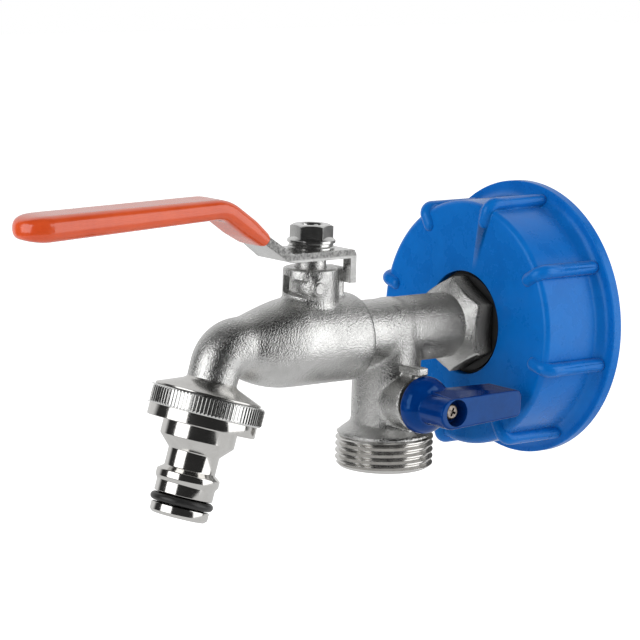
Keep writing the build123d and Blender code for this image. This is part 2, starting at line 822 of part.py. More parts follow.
def make_mini_handle():
    base = ring_y(mini_base_back_y, mini_base_front_y, mini_base_r)
    base = fillet(base.edges().group_by(Axis.Y)[0], mini_base_round)
    arm_z = mini_z - arm_drop
    left_r = arm_height / 2
    hub_x = mini_hub_left_x + left_r
    face = make_face([
        Line((hub_x, -left_r), (arm_length - arm_corner, -left_r)),
        RadiusArc((arm_length - arm_corner, -left_r), (arm_length, -left_r + arm_corner), -arm_corner),
        Line((arm_length, -left_r + arm_corner), (arm_length, left_r - arm_corner)),
        RadiusArc((arm_length, left_r - arm_corner), (arm_length - arm_corner, left_r), -arm_corner),
        Line((arm_length - arm_corner, left_r), (hub_x, left_r)),
        ThreePointArc((hub_x, left_r), (mini_hub_left_x, 0), (hub_x, -left_r)),
    ])
    front = Plane(origin=(outlet_x, mini_face_y, arm_z), x_dir=(1, 0, 0), z_dir=(0, -1, 0))
    arm = extrude(front * face, -(arm_back_y - mini_face_y))
    arm = fillet(arm.edges().group_by(Axis.Y)[0], arm_edge_round)
    handle = base + arm
    handle -= ring_y(mini_hub_front_y, mini_face_y, mini_recess_r)
    socket = mini_square + 2 * running
    handle -= box_between(
        (outlet_x - socket / 2, mini_stem_end_y - running, mini_z - socket / 2),
        (outlet_x + socket / 2, mini_base_back_y, mini_z + socket / 2),
    )
    handle -= ring_y(mini_base_back_y, mini_square_start_y, mini_neck_r + free_gap)
    handle -= ring_y(mini_stem_end_y, mini_hub_front_y, screw_shank_r + screwed)
    return handle


def make_mini_screw():
    head = ring_y(mini_hub_front_y, mini_hub_front_y - screw_head_height, screw_head_r)
    head = fillet(head.edges().group_by(Axis.Y)[0], screw_head_round)
    cross_y = mini_hub_front_y - screw_head_height
    for turn in (0, 90):
        arm = Box(screw_head_r * 1.1, 2 * cross_depth, cross_width)
        head -= Pos(outlet_x, cross_y, mini_z) * Rot(Y=turn + cross_deg) * arm
    shank = ring_y(mini_stem_end_y + screw_length, mini_hub_front_y, screw_shank_r)
    return head + shank


# Hose connector, its washer and its O-ring

def make_connector():
    shell = about_spout([
        (0, 0),
        (ring_r - ring_round, 0),
        (ring_r, ring_round),
        (ring_r, ring_length - ring_round),
        (ring_r - ring_round, ring_length),
        (step_r, ring_length),
        (step_r, step_end - ring_round),
        (step_r - ring_round, step_end),
        (body_r, step_end),
        (body_r, body_end),
        (nose_neck_r, nose_neck_start),
        (nose_neck_r, nose_neck_end),
        (collar_r, collar_start),
        (collar_r, collar_end),
        (barrel_r, barrel_start),
        (barrel_r, groove_start),
        (groove_r, groove_start),
        (groove_r, groove_end),
        (tip_r, groove_end),
        (tip_r, connector_length - tip_round),
        (tip_r - tip_round, connector_length),
        (0, connector_length),
    ])
    shell -= about_spout([
        (0, -past),
        (spout_thread_r + screwed, -past),
        (spout_thread_r + screwed, connector_floor),
        (0, connector_floor),
    ])
    return shell - about_spout([
        (0, 0),
        (connector_bore_r, 0),
        (connector_bore_r, connector_length),
        (0, connector_length),
    ])


def make_connector_washer():
    return about_spout([
        (sleeve_washer_hole_r, spout_thread_length),
        (spout_thread_r - thread_chamfer, spout_thread_length),
        (spout_thread_r - thread_chamfer, connector_floor),
        (sleeve_washer_hole_r, connector_floor),
    ])


def make_connector_o_ring():
    middle = (groove_start + groove_end) / 2
    ring = Pos(Z=middle) * Torus(groove_r + o_ring_wire_r, o_ring_wire_r)
    return connector_plane * ring


lever = make_lever()
nodes = {
    "union_cap": make_union_cap(),
    "carrier_ring": make_carrier_ring(),
    "inlet_washer": make_inlet_washer(),
    "tank_seal": make_tank_seal(),
    "rear_body": make_rear_body(),
    "front_body": make_front_body(),
    "main_ball": make_ball(),
    "front_seat": make_seat(-1),
    "rear_seat": make_seat(1),
    "main_stem": make_stem(),
    "stem_seal": make_stem_seal(),
    "stem_retaining_pin": make_retaining_pin(),
    "lever": lever,
    "lever_grip": make_grip(lever),
    "lever_washer": make_washer(),
    "lever_spring_washer": make_spring_washer(),
    "lever_nut": make_nut(),
    "outlet_ball": make_mini_ball(),
    "outlet_upper_seat": make_mini_seat(1),
    "outlet_lower_seat": make_mini_seat(-1),
    "outlet_seat_retainer": make_seat_retainer(),
    "outlet_stem": make_mini_stem(),
    "outlet_stem_seal": make_mini_stem_seal(),
    "outlet_gland": make_gland(),
    "outlet_handle": make_mini_handle(),
    "outlet_handle_screw": make_mini_screw(),
    "hose_connector": make_connector(),
    "connector_washer": make_connector_washer(),
    "connector_o_ring": make_connector_o_ring(),
}

for name, solid in nodes.items():
    export_step(solid, f"parts/{name}.step")
    print(name, "volume", round(solid.volume, 1))
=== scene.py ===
import bpy
import json
from math import cos, pi, radians, sin, sqrt, tan
from mathutils import Matrix, Vector


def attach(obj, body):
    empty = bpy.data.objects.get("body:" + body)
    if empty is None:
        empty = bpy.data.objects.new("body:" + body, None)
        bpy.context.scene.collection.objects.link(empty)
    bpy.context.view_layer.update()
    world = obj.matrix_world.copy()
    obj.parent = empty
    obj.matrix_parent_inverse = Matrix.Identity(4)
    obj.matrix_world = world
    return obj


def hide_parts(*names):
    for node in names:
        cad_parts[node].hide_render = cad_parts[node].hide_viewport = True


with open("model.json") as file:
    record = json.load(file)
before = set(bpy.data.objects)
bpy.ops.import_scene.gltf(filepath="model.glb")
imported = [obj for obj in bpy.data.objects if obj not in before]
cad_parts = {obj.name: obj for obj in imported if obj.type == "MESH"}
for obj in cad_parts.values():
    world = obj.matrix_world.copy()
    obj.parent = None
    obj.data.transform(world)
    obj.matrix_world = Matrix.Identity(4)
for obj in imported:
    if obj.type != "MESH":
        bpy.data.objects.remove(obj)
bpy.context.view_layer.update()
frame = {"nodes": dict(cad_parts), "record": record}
nodes = frame["nodes"]
mm = 0.001
print("frame loaded")


# Small helpers that work as by hand

def clearSelection():
    if bpy.context.mode != "OBJECT":
        bpy.ops.object.mode_set(mode="OBJECT")
    bpy.ops.object.select_all(action="DESELECT")


def pick(piece):
    clearSelection()
    piece.select_set(True)
    bpy.context.view_layer.objects.active = piece
    return piece


def editAll(piece):
    pick(piece)
    bpy.ops.object.mode_set(mode="EDIT")
    bpy.ops.mesh.select_all(action="SELECT")


def leaveEdit():
    bpy.ops.object.mode_set(mode="OBJECT")


def useModifier(piece, kind, **values):
    pick(piece)
    modifier = piece.modifiers.new(kind.title(), kind)
    for key, value in values.items():
        setattr(modifier, key, value)
    bpy.ops.object.modifier_apply(modifier=modifier.name)
    return piece


def bevelled(piece, width, segments=2, angle=30):
    return useModifier(piece, "BEVEL", width=width * mm, segments=segments,
                       limit_method="ANGLE", angle_limit=radians(angle))


def smoothed(piece, angle=32):
    pick(piece)
    bpy.ops.object.shade_smooth_by_angle(angle=radians(angle))
    return piece


def placed(piece, matrix):
    pick(piece)
    piece.matrix_world = matrix
    bpy.ops.object.transform_apply(location=True, rotation=True, scale=True)
    return piece


def remove(piece):
    bpy.data.objects.remove(piece)


def joined(name, piece, others):
    pick(piece)
    for other in others:
        other.select_set(True)
    bpy.ops.object.join()
    piece.name = name
    return piece


def combined(piece, other, operation):
    useModifier(piece, "BOOLEAN", object=other, operation=operation, solver="EXACT")
    remove(other)
    return piece


def turned(name, outline, steps=128):
    # outline holds (radius, height) points in millimetres and turns about Z
    clearSelection()
    bpy.ops.mesh.primitive_plane_add(size=mm)
    piece = bpy.context.object
    piece.name = name
    editAll(piece)
    bpy.ops.mesh.merge(type="CENTER")
    bpy.ops.transform.translate(value=(outline[0][0] * mm, 0, outline[0][1] * mm))
    for before, after in zip(outline, outline[1:]):
        step = ((after[0] - before[0]) * mm, 0, (after[1] - before[1]) * mm)
        bpy.ops.mesh.extrude_vertices_move(TRANSFORM_OT_translate={"value": step})
    bpy.ops.mesh.select_all(action="SELECT")
    bpy.ops.mesh.spin(steps=steps, angle=2 * pi, center=(0, 0, 0), axis=(0, 0, 1))
    bpy.ops.mesh.select_all(action="SELECT")
    bpy.ops.mesh.remove_doubles(threshold=0.002 * mm)
    bpy.ops.mesh.normals_make_consistent(inside=False)
    leaveEdit()
    return piece


def arcPoints(centre, radius, startDeg, endDeg, count):
    points = []
    for i in range(count + 1):
        angle = radians(startDeg + (endDeg - startDeg) * i / count)
        points.append((centre[0] + radius * cos(angle), centre[1] + radius * sin(angle)))
    return points


def block(name, low, high):
    clearSelection()
    middle = [(a + b) / 2 * mm for a, b in zip(low, high)]
    size = [(b - a) * mm for a, b in zip(low, high)]
    bpy.ops.mesh.primitive_cube_add(size=1, location=middle)
    piece = bpy.context.object
    piece.name = name
    piece.scale = size
    bpy.ops.object.transform_apply(location=True, rotation=True, scale=True)
    return piece


def rod(name, radius, low, high, steps=96):
    clearSelection()
    bpy.ops.mesh.primitive_cylinder_add(
        vertices=steps, radius=radius * mm, depth=(high - low) * mm, location=(0, 0, (low + high) / 2 * mm)
    )
    piece = bpy.context.object
    piece.name = name
    bpy.ops.object.transform_apply(location=True, rotation=True, scale=True)
    return piece


def tube(name, points, radii, steps=48):
    # a round bar along points in millimetres, closed at both ends, with one radius or one at each point
    clearSelection()
    if not isinstance(radii, list):
        radii = [radii] * len(points)
    curve = bpy.data.curves.new(name, "CURVE")
    curve.dimensions = "3D"
    curve.bevel_depth = mm
    curve.bevel_resolution = steps // 4
    curve.use_fill_caps = True
    spline = curve.splines.new("POLY")
    spline.points.add(len(points) - 1)
    for spot, point, radius in zip(spline.points, points, radii):
        spot.co = (point[0] * mm, point[1] * mm, point[2] * mm, 1)
        spot.radius = radius
    piece = bpy.data.objects.new(name, curve)
    bpy.context.scene.collection.objects.link(piece)
    pick(piece)
    bpy.ops.object.convert(target="MESH")
    piece = bpy.context.object
    editAll(piece)
    bpy.ops.mesh.remove_doubles(threshold=0.002 * mm)
    bpy.ops.mesh.normals_make_consistent(inside=False)
    leaveEdit()
    return piece


def nudge(piece, chosen, step):
    # moves the vertices that the test picks, by millimetres
    editAll(piece)
    bpy.ops.mesh.select_all(action="DESELECT")
    leaveEdit()
    for vertex in piece.data.vertices:
        vertex.select = chosen(vertex.co)
    bpy.ops.object.mode_set(mode="EDIT")
    bpy.ops.transform.translate(value=[v * mm for v in step])
    leaveEdit()


def cadCopy(name, node):
    # a copy of a CAD node with its loose triangles merged
    mesh = nodes[node].data.copy()
    piece = bpy.data.objects.new(name, mesh)
    bpy.context.scene.collection.objects.link(piece)
    editAll(piece)
    bpy.ops.mesh.remove_doubles(threshold=0.001 * mm)
    leaveEdit()
    for attribute in ("custom_normal",):
        if attribute in mesh.attributes:
            mesh.attributes.remove(mesh.attributes[attribute])
    return piece


# Places that the pieces share, in millimetres

axes = {
    "outletX": -50.5,
    "ballX": -77.7,
    "smallZ": -17.7,
    "spoutTilt": 16.2,
    "spoutX": -110.35,
    "spoutZ": -11.88,
}
tilt = radians(axes["spoutTilt"])
alongPipe = Matrix.Rotation(radians(90), 4, "Y")
atStem = Matrix.Translation((axes["ballX"] * mm, 0, 0))
atOutlet = Matrix.Translation((axes["outletX"] * mm, 0, 0))
atSmallStem = Matrix.Translation((axes["outletX"] * mm, 0, axes["smallZ"] * mm)) @ Matrix.Rotation(
    radians(90), 4, "X")
atSpout = Matrix.Translation((axes["spoutX"] * mm, 0, axes["spoutZ"] * mm)) @ Matrix.Rotation(
    radians(180) + tilt, 4, "Y")
spoutDir = Vector((-sin(tilt), 0, -cos(tilt)))


# Node groups that several finishes share

def newGroup(name, inputs, outputs):
    group = bpy.data.node_groups.new(name, "ShaderNodeTree")
    for title, kind, value in inputs:
        socket = group.interface.new_socket(title, in_out="INPUT", socket_type=kind)
        if value is not None:
            socket.default_value = value
    for title, kind in outputs:
        group.interface.new_socket(title, in_out="OUTPUT", socket_type=kind)
    start = group.nodes.new("NodeGroupInput")
    end = group.nodes.new("NodeGroupOutput")
    return group, start, end


def addNode(tree, kind, links=None, **values):
    node = tree.nodes.new("ShaderNode" + kind)
    sockets = {}
    for key, value in values.items():
        if hasattr(node, key):
            setattr(node, key, value)
        else:
            sockets[key] = value
    for key, value in sockets.items():
        node.inputs[key.replace("_", " ")].default_value = value
    for key, source in (links or {}).items():
        tree.links.new(source, node.inputs[key])
    return node


def makeGrain():
    # sand-cast skin: a coarse and a fine grain, higher in patches
    group, start, end = newGroup(
        "castGrain",
        [("Vector", "NodeSocketVector", None), ("Fine", "NodeSocketFloat", 2600.0),
         ("Coarse", "NodeSocketFloat", 1600.0), ("Patch", "NodeSocketFloat", 90.0)],
        [("Height", "NodeSocketFloat"), ("Shade", "NodeSocketFloat")],
    )
    fine = addNode(group, "TexNoise", {"Vector": start.outputs["Vector"], "Scale": start.outputs["Fine"]},
                   Detail=2.0, Roughness=0.6)
    coarse = addNode(group, "TexNoise", {"Vector": start.outputs["Vector"], "Scale": start.outputs["Coarse"]},
                     Detail=3.0, Roughness=0.62)
    patch = addNode(group, "TexNoise", {"Vector": start.outputs["Vector"], "Scale": start.outputs["Patch"]},
                    Detail=2.0)
    both = addNode(group, "Math", {0: fine.outputs["Fac"], 1: coarse.outputs["Fac"]}, operation="ADD")
    weight = addNode(group, "MapRange", {"Value": patch.outputs["Fac"]})
    weight.inputs["From Min"].default_value = 0.3
    weight.inputs["From Max"].default_value = 0.7
    weight.inputs["To Min"].default_value = 0.55
    weight.inputs["To Max"].default_value = 1.0
    height = addNode(group, "Math", {0: both.outputs[0], 1: weight.outputs["Result"]}, operation="MULTIPLY")
    group.links.new(height.outputs[0], end.inputs["Height"])
    group.links.new(coarse.outputs["Fac"], end.inputs["Shade"])
    return group


def makeWear():
    # fine scuffs and a soft mottling of the gloss
    group, start, end = newGroup(
        "surfaceWear",
        [("Vector", "NodeSocketVector", None), ("Scale", "NodeSocketFloat", 300.0),
         ("Low", "NodeSocketFloat", 0.2), ("High", "NodeSocketFloat", 0.35)],
        [("Roughness", "NodeSocketFloat"), ("Mask", "NodeSocketFloat")],
    )
    cloud = addNode(group, "TexNoise", {"Vector": start.outputs["Vector"], "Scale": start.outputs["Scale"]},
                    Detail=4.0, Roughness=0.65)
    spread = addNode(group, "MapRange", {"Value": cloud.outputs["Fac"], "To Min": start.outputs["Low"],
                                         "To Max": start.outputs["High"]})
    spread.inputs["From Min"].default_value = 0.3
    spread.inputs["From Max"].default_value = 0.7
    group.links.new(spread.outputs["Result"], end.inputs["Roughness"])
    group.links.new(cloud.outputs["Fac"], end.inputs["Mask"])
    return group


castGrain = makeGrain()
surfaceWear = makeWear()


def startMaterial(name):
    material = bpy.data.materials.new(name)
    material.use_nodes = True
    tree = material.node_tree
    shader = tree.nodes["Principled BSDF"]
    spot = addNode(tree, "TexCoord")
    return material, tree, shader, spot.outputs["Object"]


def useGroup(tree, group, links, **values):
    node = tree.nodes.new("ShaderNodeGroup")
    node.node_tree = group
    for key, value in values.items():
        node.inputs[key].default_value = value
    for key, source in links.items():
        tree.links.new(source, node.inputs[key])
    return node


def mixed(tree, factor, first, second):
    ramp = addNode(tree, "ValToRGB", {"Fac": factor})
    ramp.color_ramp.elements[0].position = 0.35
    ramp.color_ramp.elements[0].color = (*first, 1)
    ramp.color_ramp.elements[1].position = 0.65
    ramp.color_ramp.elements[1].color = (*second, 1)
    return ramp.outputs["Color"]


def makeMetal(name, dark, light, low, high, scale, grain=0.0, grainDistance=0.0):
    material, tree, shader, place = startMaterial(name)
    shader.inputs["Metallic"].default_value = 1.0
    wear = useGroup(tree, surfaceWear, {"Vector": place}, Scale=scale, Low=low, High=high)
    tree.links.new(wear.outputs["Roughness"], shader.inputs["Roughness"])
    tree.links.new(mixed(tree, wear.outputs["Mask"], dark, light), shader.inputs["Base Color"])
    if grain:
        skin = useGroup(tree, castGrain, {"Vector": place})
        bump = addNode(tree, "Bump", {"Height": skin.outputs["Height"]}, Strength=grain, Distance=grainDistance)
        tree.links.new(bump.outputs["Normal"], shader.inputs["Normal"])
    return material


def makePlastic(name, dark, light, low, high, scale, bumpScale, bumpStrength, coat=0.0, tint=(1, 1, 1)):
    material, tree, shader, place = startMaterial(name)
    wear = useGroup(tree, surfaceWear, {"Vector": place}, Scale=scale, Low=low, High=high)
    tree.links.new(wear.outputs["Roughness"], shader.inputs["Roughness"])
    tree.links.new(mixed(tree, wear.outputs["Mask"], dark, light), shader.inputs["Base Color"])
    ripple = addNode(tree, "TexNoise", {"Vector": place}, Scale=bumpScale, Detail=3.0)
    bump = addNode(tree, "Bump", {"Height": ripple.outputs["Fac"]}, Strength=bumpStrength, Distance=0.0001)
    tree.links.new(bump.outputs["Normal"], shader.inputs["Normal"])
    shader.inputs["Specular Tint"].default_value = (*tint, 1)
    if coat:
        shader.inputs["Coat Weight"].default_value = coat
        shader.inputs["Coat Roughness"].default_value = 0.06
        shader.inputs["Coat Tint"].default_value = (*tint, 1)
    # the metal beside the coloured plastics mirrors them as grey
    ray = addNode(tree, "LightPath")
    tone = (dark[0] + dark[1] + dark[2]) / 3
    grey = addNode(tree, "BsdfDiffuse", Color=(tone, tone, tone, 1))
    seen = addNode(tree, "MixShader", {0: ray.outputs["Is Glossy Ray"], 1: shader.outputs["BSDF"],
                                       2: grey.outputs["BSDF"]})
    tree.links.new(seen.outputs["Shader"], tree.nodes["Material Output"].inputs["Surface"])
    return material


castNickel = makeMetal("castNickel", (0.6, 0.6, 0.59), (0.68, 0.68, 0.67), 0.21, 0.29, 160,
                       grain=0.85, grainDistance=0.0002)
machinedNickel = makeMetal("machinedNickel", (0.62, 0.61, 0.59), (0.7, 0.69, 0.67), 0.16, 0.24, 220)
turnedNickel = makeMetal("turnedNickel", (0.66, 0.65, 0.63), (0.72, 0.71, 0.69), 0.1, 0.15, 260)
knurlNickel = makeMetal("knurlNickel", (0.74, 0.74, 0.73), (0.82, 0.82, 0.81), 0.15, 0.22, 400)
zincSteel = makeMetal("zincSteel", (0.62, 0.62, 0.61), (0.72, 0.72, 0.71), 0.16, 0.26, 500)


def makeSheared():
    # a sheared edge: torn and dull above, cut bright along its foot
    material = makeMetal("shearedSteel", (0.2, 0.2, 0.2), (0.55, 0.55, 0.54), 0.34, 0.5, 1300,
                         grain=1.0, grainDistance=0.0003)
    tree = material.node_tree
    shader = tree.nodes["Principled BSDF"]
    spot = addNode(tree, "TexCoord")
    split = addNode(tree, "SeparateXYZ", {"Vector": spot.outputs["Object"]})
    foot = addNode(tree, "MapRange", {"Value": split.outputs["Z"]})
    foot.inputs["From Min"].default_value = 0.0222
    foot.inputs["From Max"].default_value = 0.0227
    foot.inputs["To Min"].default_value = 1.0
    foot.inputs["To Max"].default_value = 0.0
    torn = shader.inputs["Base Color"].links[0].from_socket
    tone = addNode(tree, "MixRGB", {"Fac": foot.outputs["Result"], "Color1": torn}, Color2=(0.8, 0.8, 0.79, 1))
    tree.links.new(tone.outputs["Color"], shader.inputs["Base Color"])
    return material


shearedSteel = makeSheared()
chromedBall = makeMetal("chromedBall", (0.75, 0.75, 0.77), (0.82, 0.82, 0.84), 0.03, 0.06, 200)
plainBrass = makeMetal("plainBrass", (0.11, 0.09, 0.08), (0.38, 0.33, 0.29), 0.25, 0.4, 1400)
capBlue = makePlastic("capBlue", (0.0, 0.14, 0.54), (0.0, 0.165, 0.61), 0.24, 0.32, 120, 1800, 0.18,
                      tint=(0.36, 0.68, 1.0))
handleBlue = makePlastic("handleBlue", (0.0, 0.028, 0.17), (0.0, 0.04, 0.22), 0.12, 0.2, 180, 900, 0.12,
                         coat=0.12, tint=(0.12, 0.5, 1.0))
gripOrange = makePlastic("gripOrange", (0.68, 0.075, 0.014), (0.78, 0.1, 0.02), 0.18, 0.26, 90, 700, 0.1, coat=0.5)
blackRubber = makePlastic("blackRubber", (0.012, 0.012, 0.012), (0.022, 0.022, 0.022), 0.3, 0.42, 300, 2500, 0.2)
blackPlastic = makePlastic("blackPlastic", (0.01, 0.01, 0.01), (0.018, 0.018, 0.018), 0.4, 0.55, 260, 2200, 0.25)
seatWhite = makePlastic("seatWhite", (0.78, 0.78, 0.75), (0.85, 0.85, 0.82), 0.3, 0.4, 200, 1500, 0.1)
print("materials made")


def finished(piece, material, body, slot, *replacedNodes):
    piece.data.materials.clear()
    piece.data.materials.append(material)
    for face in piece.data.polygons:
        face.material_index = 0
    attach(piece, body)
    if replacedNodes:
        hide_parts(*replacedNodes)
    return piece


slotFinish = {
    "cap_blue": capBlue,
    "black_plastic": blackPlastic,
    "black_rubber": blackRubber,
    "cast_nickel": castNickel,
    "turned_nickel": turnedNickel,
    "ball_chrome": chromedBall,
    "seat_white": seatWhite,
    "zinc_steel": zincSteel,
    "grip_orange": gripOrange,
    "handle_blue": handleBlue,
    "screw_brass": plainBrass,
}
for part in frame["record"]["subparts"]:
    node = nodes[part["node"]]
    node.data.materials.clear()
    node.data.materials.append(slotFinish[part["material_slot"]])


# Swivel cap

capSize = {
    "depth": 23.5, "radius": 33.5, "wall": 4.0, "edgeRound": 1.6, "hole": 14.2,
    "threadRoot": 29.6, "threadCrest": 28.4, "threadPitch": 6.0, "threadTurns": 2,
    "flange": 37.9, "flangeThickness": 2.9, "hollow": 3.2,
    "ribs": 8, "firstRib": 14.06, "ribHalf": 1.9, "ribCrest": 36.3, "ribProud": 1.4, "ribStart": 29.4,
    "ribBend": 2.5,
}


def makeCap():
    size = capSize
    front = -size["depth"]
    hollowStart = -size["flangeThickness"] - size["hollow"]
    outline = [(size["hole"], front), (size["radius"] - size["edgeRound"] - 0.4, front),
               (size["radius"] - size["edgeRound"], front)]
    outline += arcPoints((size["radius"] - size["edgeRound"], front + size["edgeRound"]),
                         size["edgeRound"], -90, 0, 6)[1:]
    outline += [(size["radius"], hollowStart)]
    outline += arcPoints((size["radius"] + size["hollow"], hollowStart), size["hollow"], 180, 90, 10)[1:]
    outline += [(size["flange"], -size["flangeThickness"]), (size["flange"], 0), (size["threadCrest"], 0)]
    outline += [(size["threadRoot"], -1.2), (size["threadRoot"], front + size["wall"])]
    outline += [(size["hole"], front + size["wall"]), (size["hole"], front)]
    cap = turned("blueCap", outline, 192)
    placed(cap, alongPipe)
    bevelled(cap, 0.35, 3, 40)

    runRadius = size["ribCrest"] - size["ribHalf"]
    faceX = front - size["ribProud"] + size["ribHalf"]
    bend = size["ribBend"]
    path = [(faceX, 0, size["ribStart"])]
    path += [(x, 0, z) for z, x in arcPoints((runRadius - bend, faceX + bend), bend, -90, 0, 10)]
    path += [(-size["flangeThickness"] - size["ribHalf"] * 0.6, 0, runRadius)]
    for k in range(size["ribs"]):
        rib = tube("capRib", path, size["ribHalf"], 32)
        for end in (path[0], path[-1]):
            clearSelection()
            bpy.ops.mesh.primitive_uv_sphere_add(
                segments=48, ring_count=24, radius=size["ribHalf"] * mm, location=[v * mm for v in end]
            )
            knob = bpy.context.object
            bpy.ops.object.transform_apply(location=True, rotation=True, scale=True)
            combined(rib, knob, "UNION")
        placed(rib, Matrix.Rotation(radians(size["firstRib"] + k * 360 / size["ribs"]), 4, "X"))
        combined(cap, rib, "UNION")
    innerSide = rod("capHollow", size["threadRoot"], -0.1 - size["depth"] + size["wall"], 1.0, 192)
    placed(innerSide, alongPipe)
    combined(cap, innerSide, "DIFFERENCE")
    editAll(cap)
    bpy.ops.mesh.remove_doubles(threshold=0.01 * mm)
    bpy.ops.mesh.dissolve_degenerate(threshold=0.01 * mm)
    leaveEdit()
    return cap


def makeCapThread():
    # two turns of coarse thread, as a ridge sunk into the cap's wall
    size = capSize
    root = size["threadRoot"] + 0.3
    crest = size["threadCrest"]
    pitch = size["threadPitch"]
    clearSelection()
    bpy.ops.mesh.primitive_plane_add(size=mm)
    ridge = bpy.context.object
    ridge.name = "capThread"
    editAll(ridge)
    bpy.ops.mesh.merge(type="CENTER")
    loop = [(root, -1.6), (crest, -0.7), (crest, 0.7), (root, 1.6), (root, -1.6)]
    bpy.ops.transform.translate(value=(loop[0][0] * mm, 0, (loop[0][1] - 11.0) * mm))
    for before, after in zip(loop, loop[1:]):
        step = ((after[0] - before[0]) * mm, 0, (after[1] - before[1]) * mm)
        bpy.ops.mesh.extrude_vertices_move(TRANSFORM_OT_translate={"value": step})
    bpy.ops.mesh.select_all(action="SELECT")
    bpy.ops.mesh.remove_doubles(threshold=0.002 * mm)
    leaveEdit()
    turns = 1.5
    useModifier(ridge, "SCREW", steps=144, render_steps=144, angle=2 * pi * turns, screw_offset=pitch * turns * mm,
                iterations=1, axis="Z", use_merge_vertices=False)
    editAll(ridge)
    bpy.ops.mesh.select_all(action="DESELECT")
    bpy.ops.mesh.select_mode(type="EDGE")
    bpy.ops.mesh.select_non_manifold()
    bpy.ops.mesh.fill()
    bpy.ops.mesh.select_mode(type="VERT")
    bpy.ops.mesh.select_all(action="SELECT")
    bpy.ops.mesh.normals_make_consistent(inside=False)
    leaveEdit()
    placed(ridge, alongPipe)
    return ridge


cap = makeCap()
cap = joined("blueCap", cap, [makeCapThread()])
smoothed(cap, 30)
useModifier(cap, "WEIGHTED_NORMAL", keep_sharp=True, weight=80)
finished(cap, capBlue, "cap", "cap_blue", "union_cap")
print("cap made")


# Cast bodies

frontSize = {
    "housing": 11.8, "housingDrop": 0.17, "rear": -63.4, "rearRound": 1.8, "shoulder": -84.8, "waist": 10.53, "drop": 0.62,
    "elbow": 7.85, "spout": 6.6, "bend": 6.9, "lead": 1.0, "foot": -2.2,
    "neck": 7.3, "neckTop": 19.25, "stemHole": 4.3,
    "flatDepth": 2.7, "flatLow": 12.5, "flatHigh": 17.1, "flatFar": 2.9, "flatTurn": 7.0,
    "boss": 2.3, "bossOut": -7.6, "pinOffset": -2.8, "pinZ": 14.6,
    "lugLength": 9.2, "lugSide": -3.5, "lugFar": 2.4, "lugLow": 9.5,
    "voxel": 0.4, "rounds": 26,
}


def spoutLine():
    # middle line and radius of the casting's front, from the housing's rear to the flare
    size = frontSize
    cornerX = axes["spoutX"] - axes["spoutZ"] * tan(tilt)
    reach = size["bend"] * tan((pi / 2 - tilt) / 2)
    startX = cornerX + reach + size["lead"]
    low = -size["housingDrop"]
    points = [(size["rear"] - size["rearRound"], 0, low), (size["shoulder"], 0, low)]
    radii = [size["housing"]] * 2
    for k in range(1, 13):
        t = k / 12
        first, middle, last = (2 * t - 1) * (t - 1), 4 * t * (1 - t), t * (2 * t - 1)
        points.append((size["shoulder"] + (startX - size["shoulder"]) * t, 0, low * first - size["drop"] * middle))
        radii.append(size["housing"] * first + size["waist"] * middle + size["elbow"] * last)
    bend = [(x, 0, z) for x, z in arcPoints((cornerX + reach, -size["bend"]), size["bend"], 90,
                                            180 - axes["spoutTilt"], 16)]
    end = Vector((axes["spoutX"], 0, axes["spoutZ"])) + size["foot"] * spoutDir
    for k, point in enumerate(bend + [tuple(end)]):
        points.append(point)
        radii.append(size["elbow"] + (size["spout"] - size["elbow"]) * (k + 1) / (len(bend) + 1))
    return points, radii


def makeCastFront():
    size = frontSize
    points, radii = spoutLine()
    body = tube("castFront", points, radii, 96)
    rounding = size["rearRound"]
    start = size["rear"] - rounding
    outline = [(0, size["rear"])]
    outline += arcPoints((size["housing"] - rounding, start), rounding, 90, 0, 6)
    outline += [(size["housing"], start - 2), (0, start - 2)]
    rear = turned("castRearEdge", outline, 96)
    x = axes["ballX"]
    neck = rod("castNeck", size["neck"], 2, size["neckTop"], 96)
    boss = rod("castBoss", size["boss"], 2, -size["bossOut"], 48)
    turn = Matrix.Translation(((x + size["pinOffset"]) * mm, 0, size["pinZ"] * mm))
    lowered = Matrix.Translation((0, 0, -size["housingDrop"] * mm))
    parts = [placed(rear, lowered @ alongPipe), placed(neck, atStem), placed(boss, turn @ Matrix.Rotation(radians(90), 4, "X"))]
    parts.append(block("castLug", (x + 4.2, size["lugSide"], size["lugLow"]),
                       (x + size["lugLength"], size["lugFar"], size["neckTop"])))
    for part in parts:
        combined(body, part, "UNION")
    useModifier(body, "REMESH", mode="VOXEL", voxel_size=size["voxel"] * mm)
    useModifier(body, "SMOOTH", factor=0.5, iterations=size["rounds"])
    low, high = size["flatLow"], size["flatHigh"]
    recess = block("neckFlat", (-size["neck"] - 2, -9, low), (-size["neck"] + size["flatDepth"], size["flatFar"], high))
    bevelled(recess, 0.35, 3)
    middle = Matrix.Translation((0, 0, (low + high) / 2 * mm))
    placed(recess, atStem @ middle @ Matrix.Rotation(radians(size["flatTurn"]), 4, "X") @ middle.inverted())
    keep = placed(rod("bossKeep", size["boss"] + 0.5, 2, -size["bossOut"] + 1, 48),
                  turn @ Matrix.Rotation(radians(90), 4, "X"))
    combined(recess, keep, "DIFFERENCE")
    combined(body, recess, "DIFFERENCE")
    hole = rod("stemHole", size["stemHole"], size["neckTop"] - 5, size["neckTop"] + 3, 64)
    combined(body, placed(hole, atStem), "DIFFERENCE")
    return body


rearSize = {
    "pipe": 8.95, "pipeStart": -66.0, "pipeEnd": -27.0, "stub": 9.25, "stubEnd": -28.6,
    "flareTop": -24.7, "flareFoot": -27.3, "flareRadius": 12.7,
    "boss": 7.3, "bossEnd": -13.6, "stopWidth": 3.2, "stopHeight": 2.1, "stopLeft": -3.1, "stopEnd": -17.0,
    "stopLow": -9.65, "chamber": 6.95, "chamberTop": -11.9, "voxel": 0.42, "rounds": 26,
}


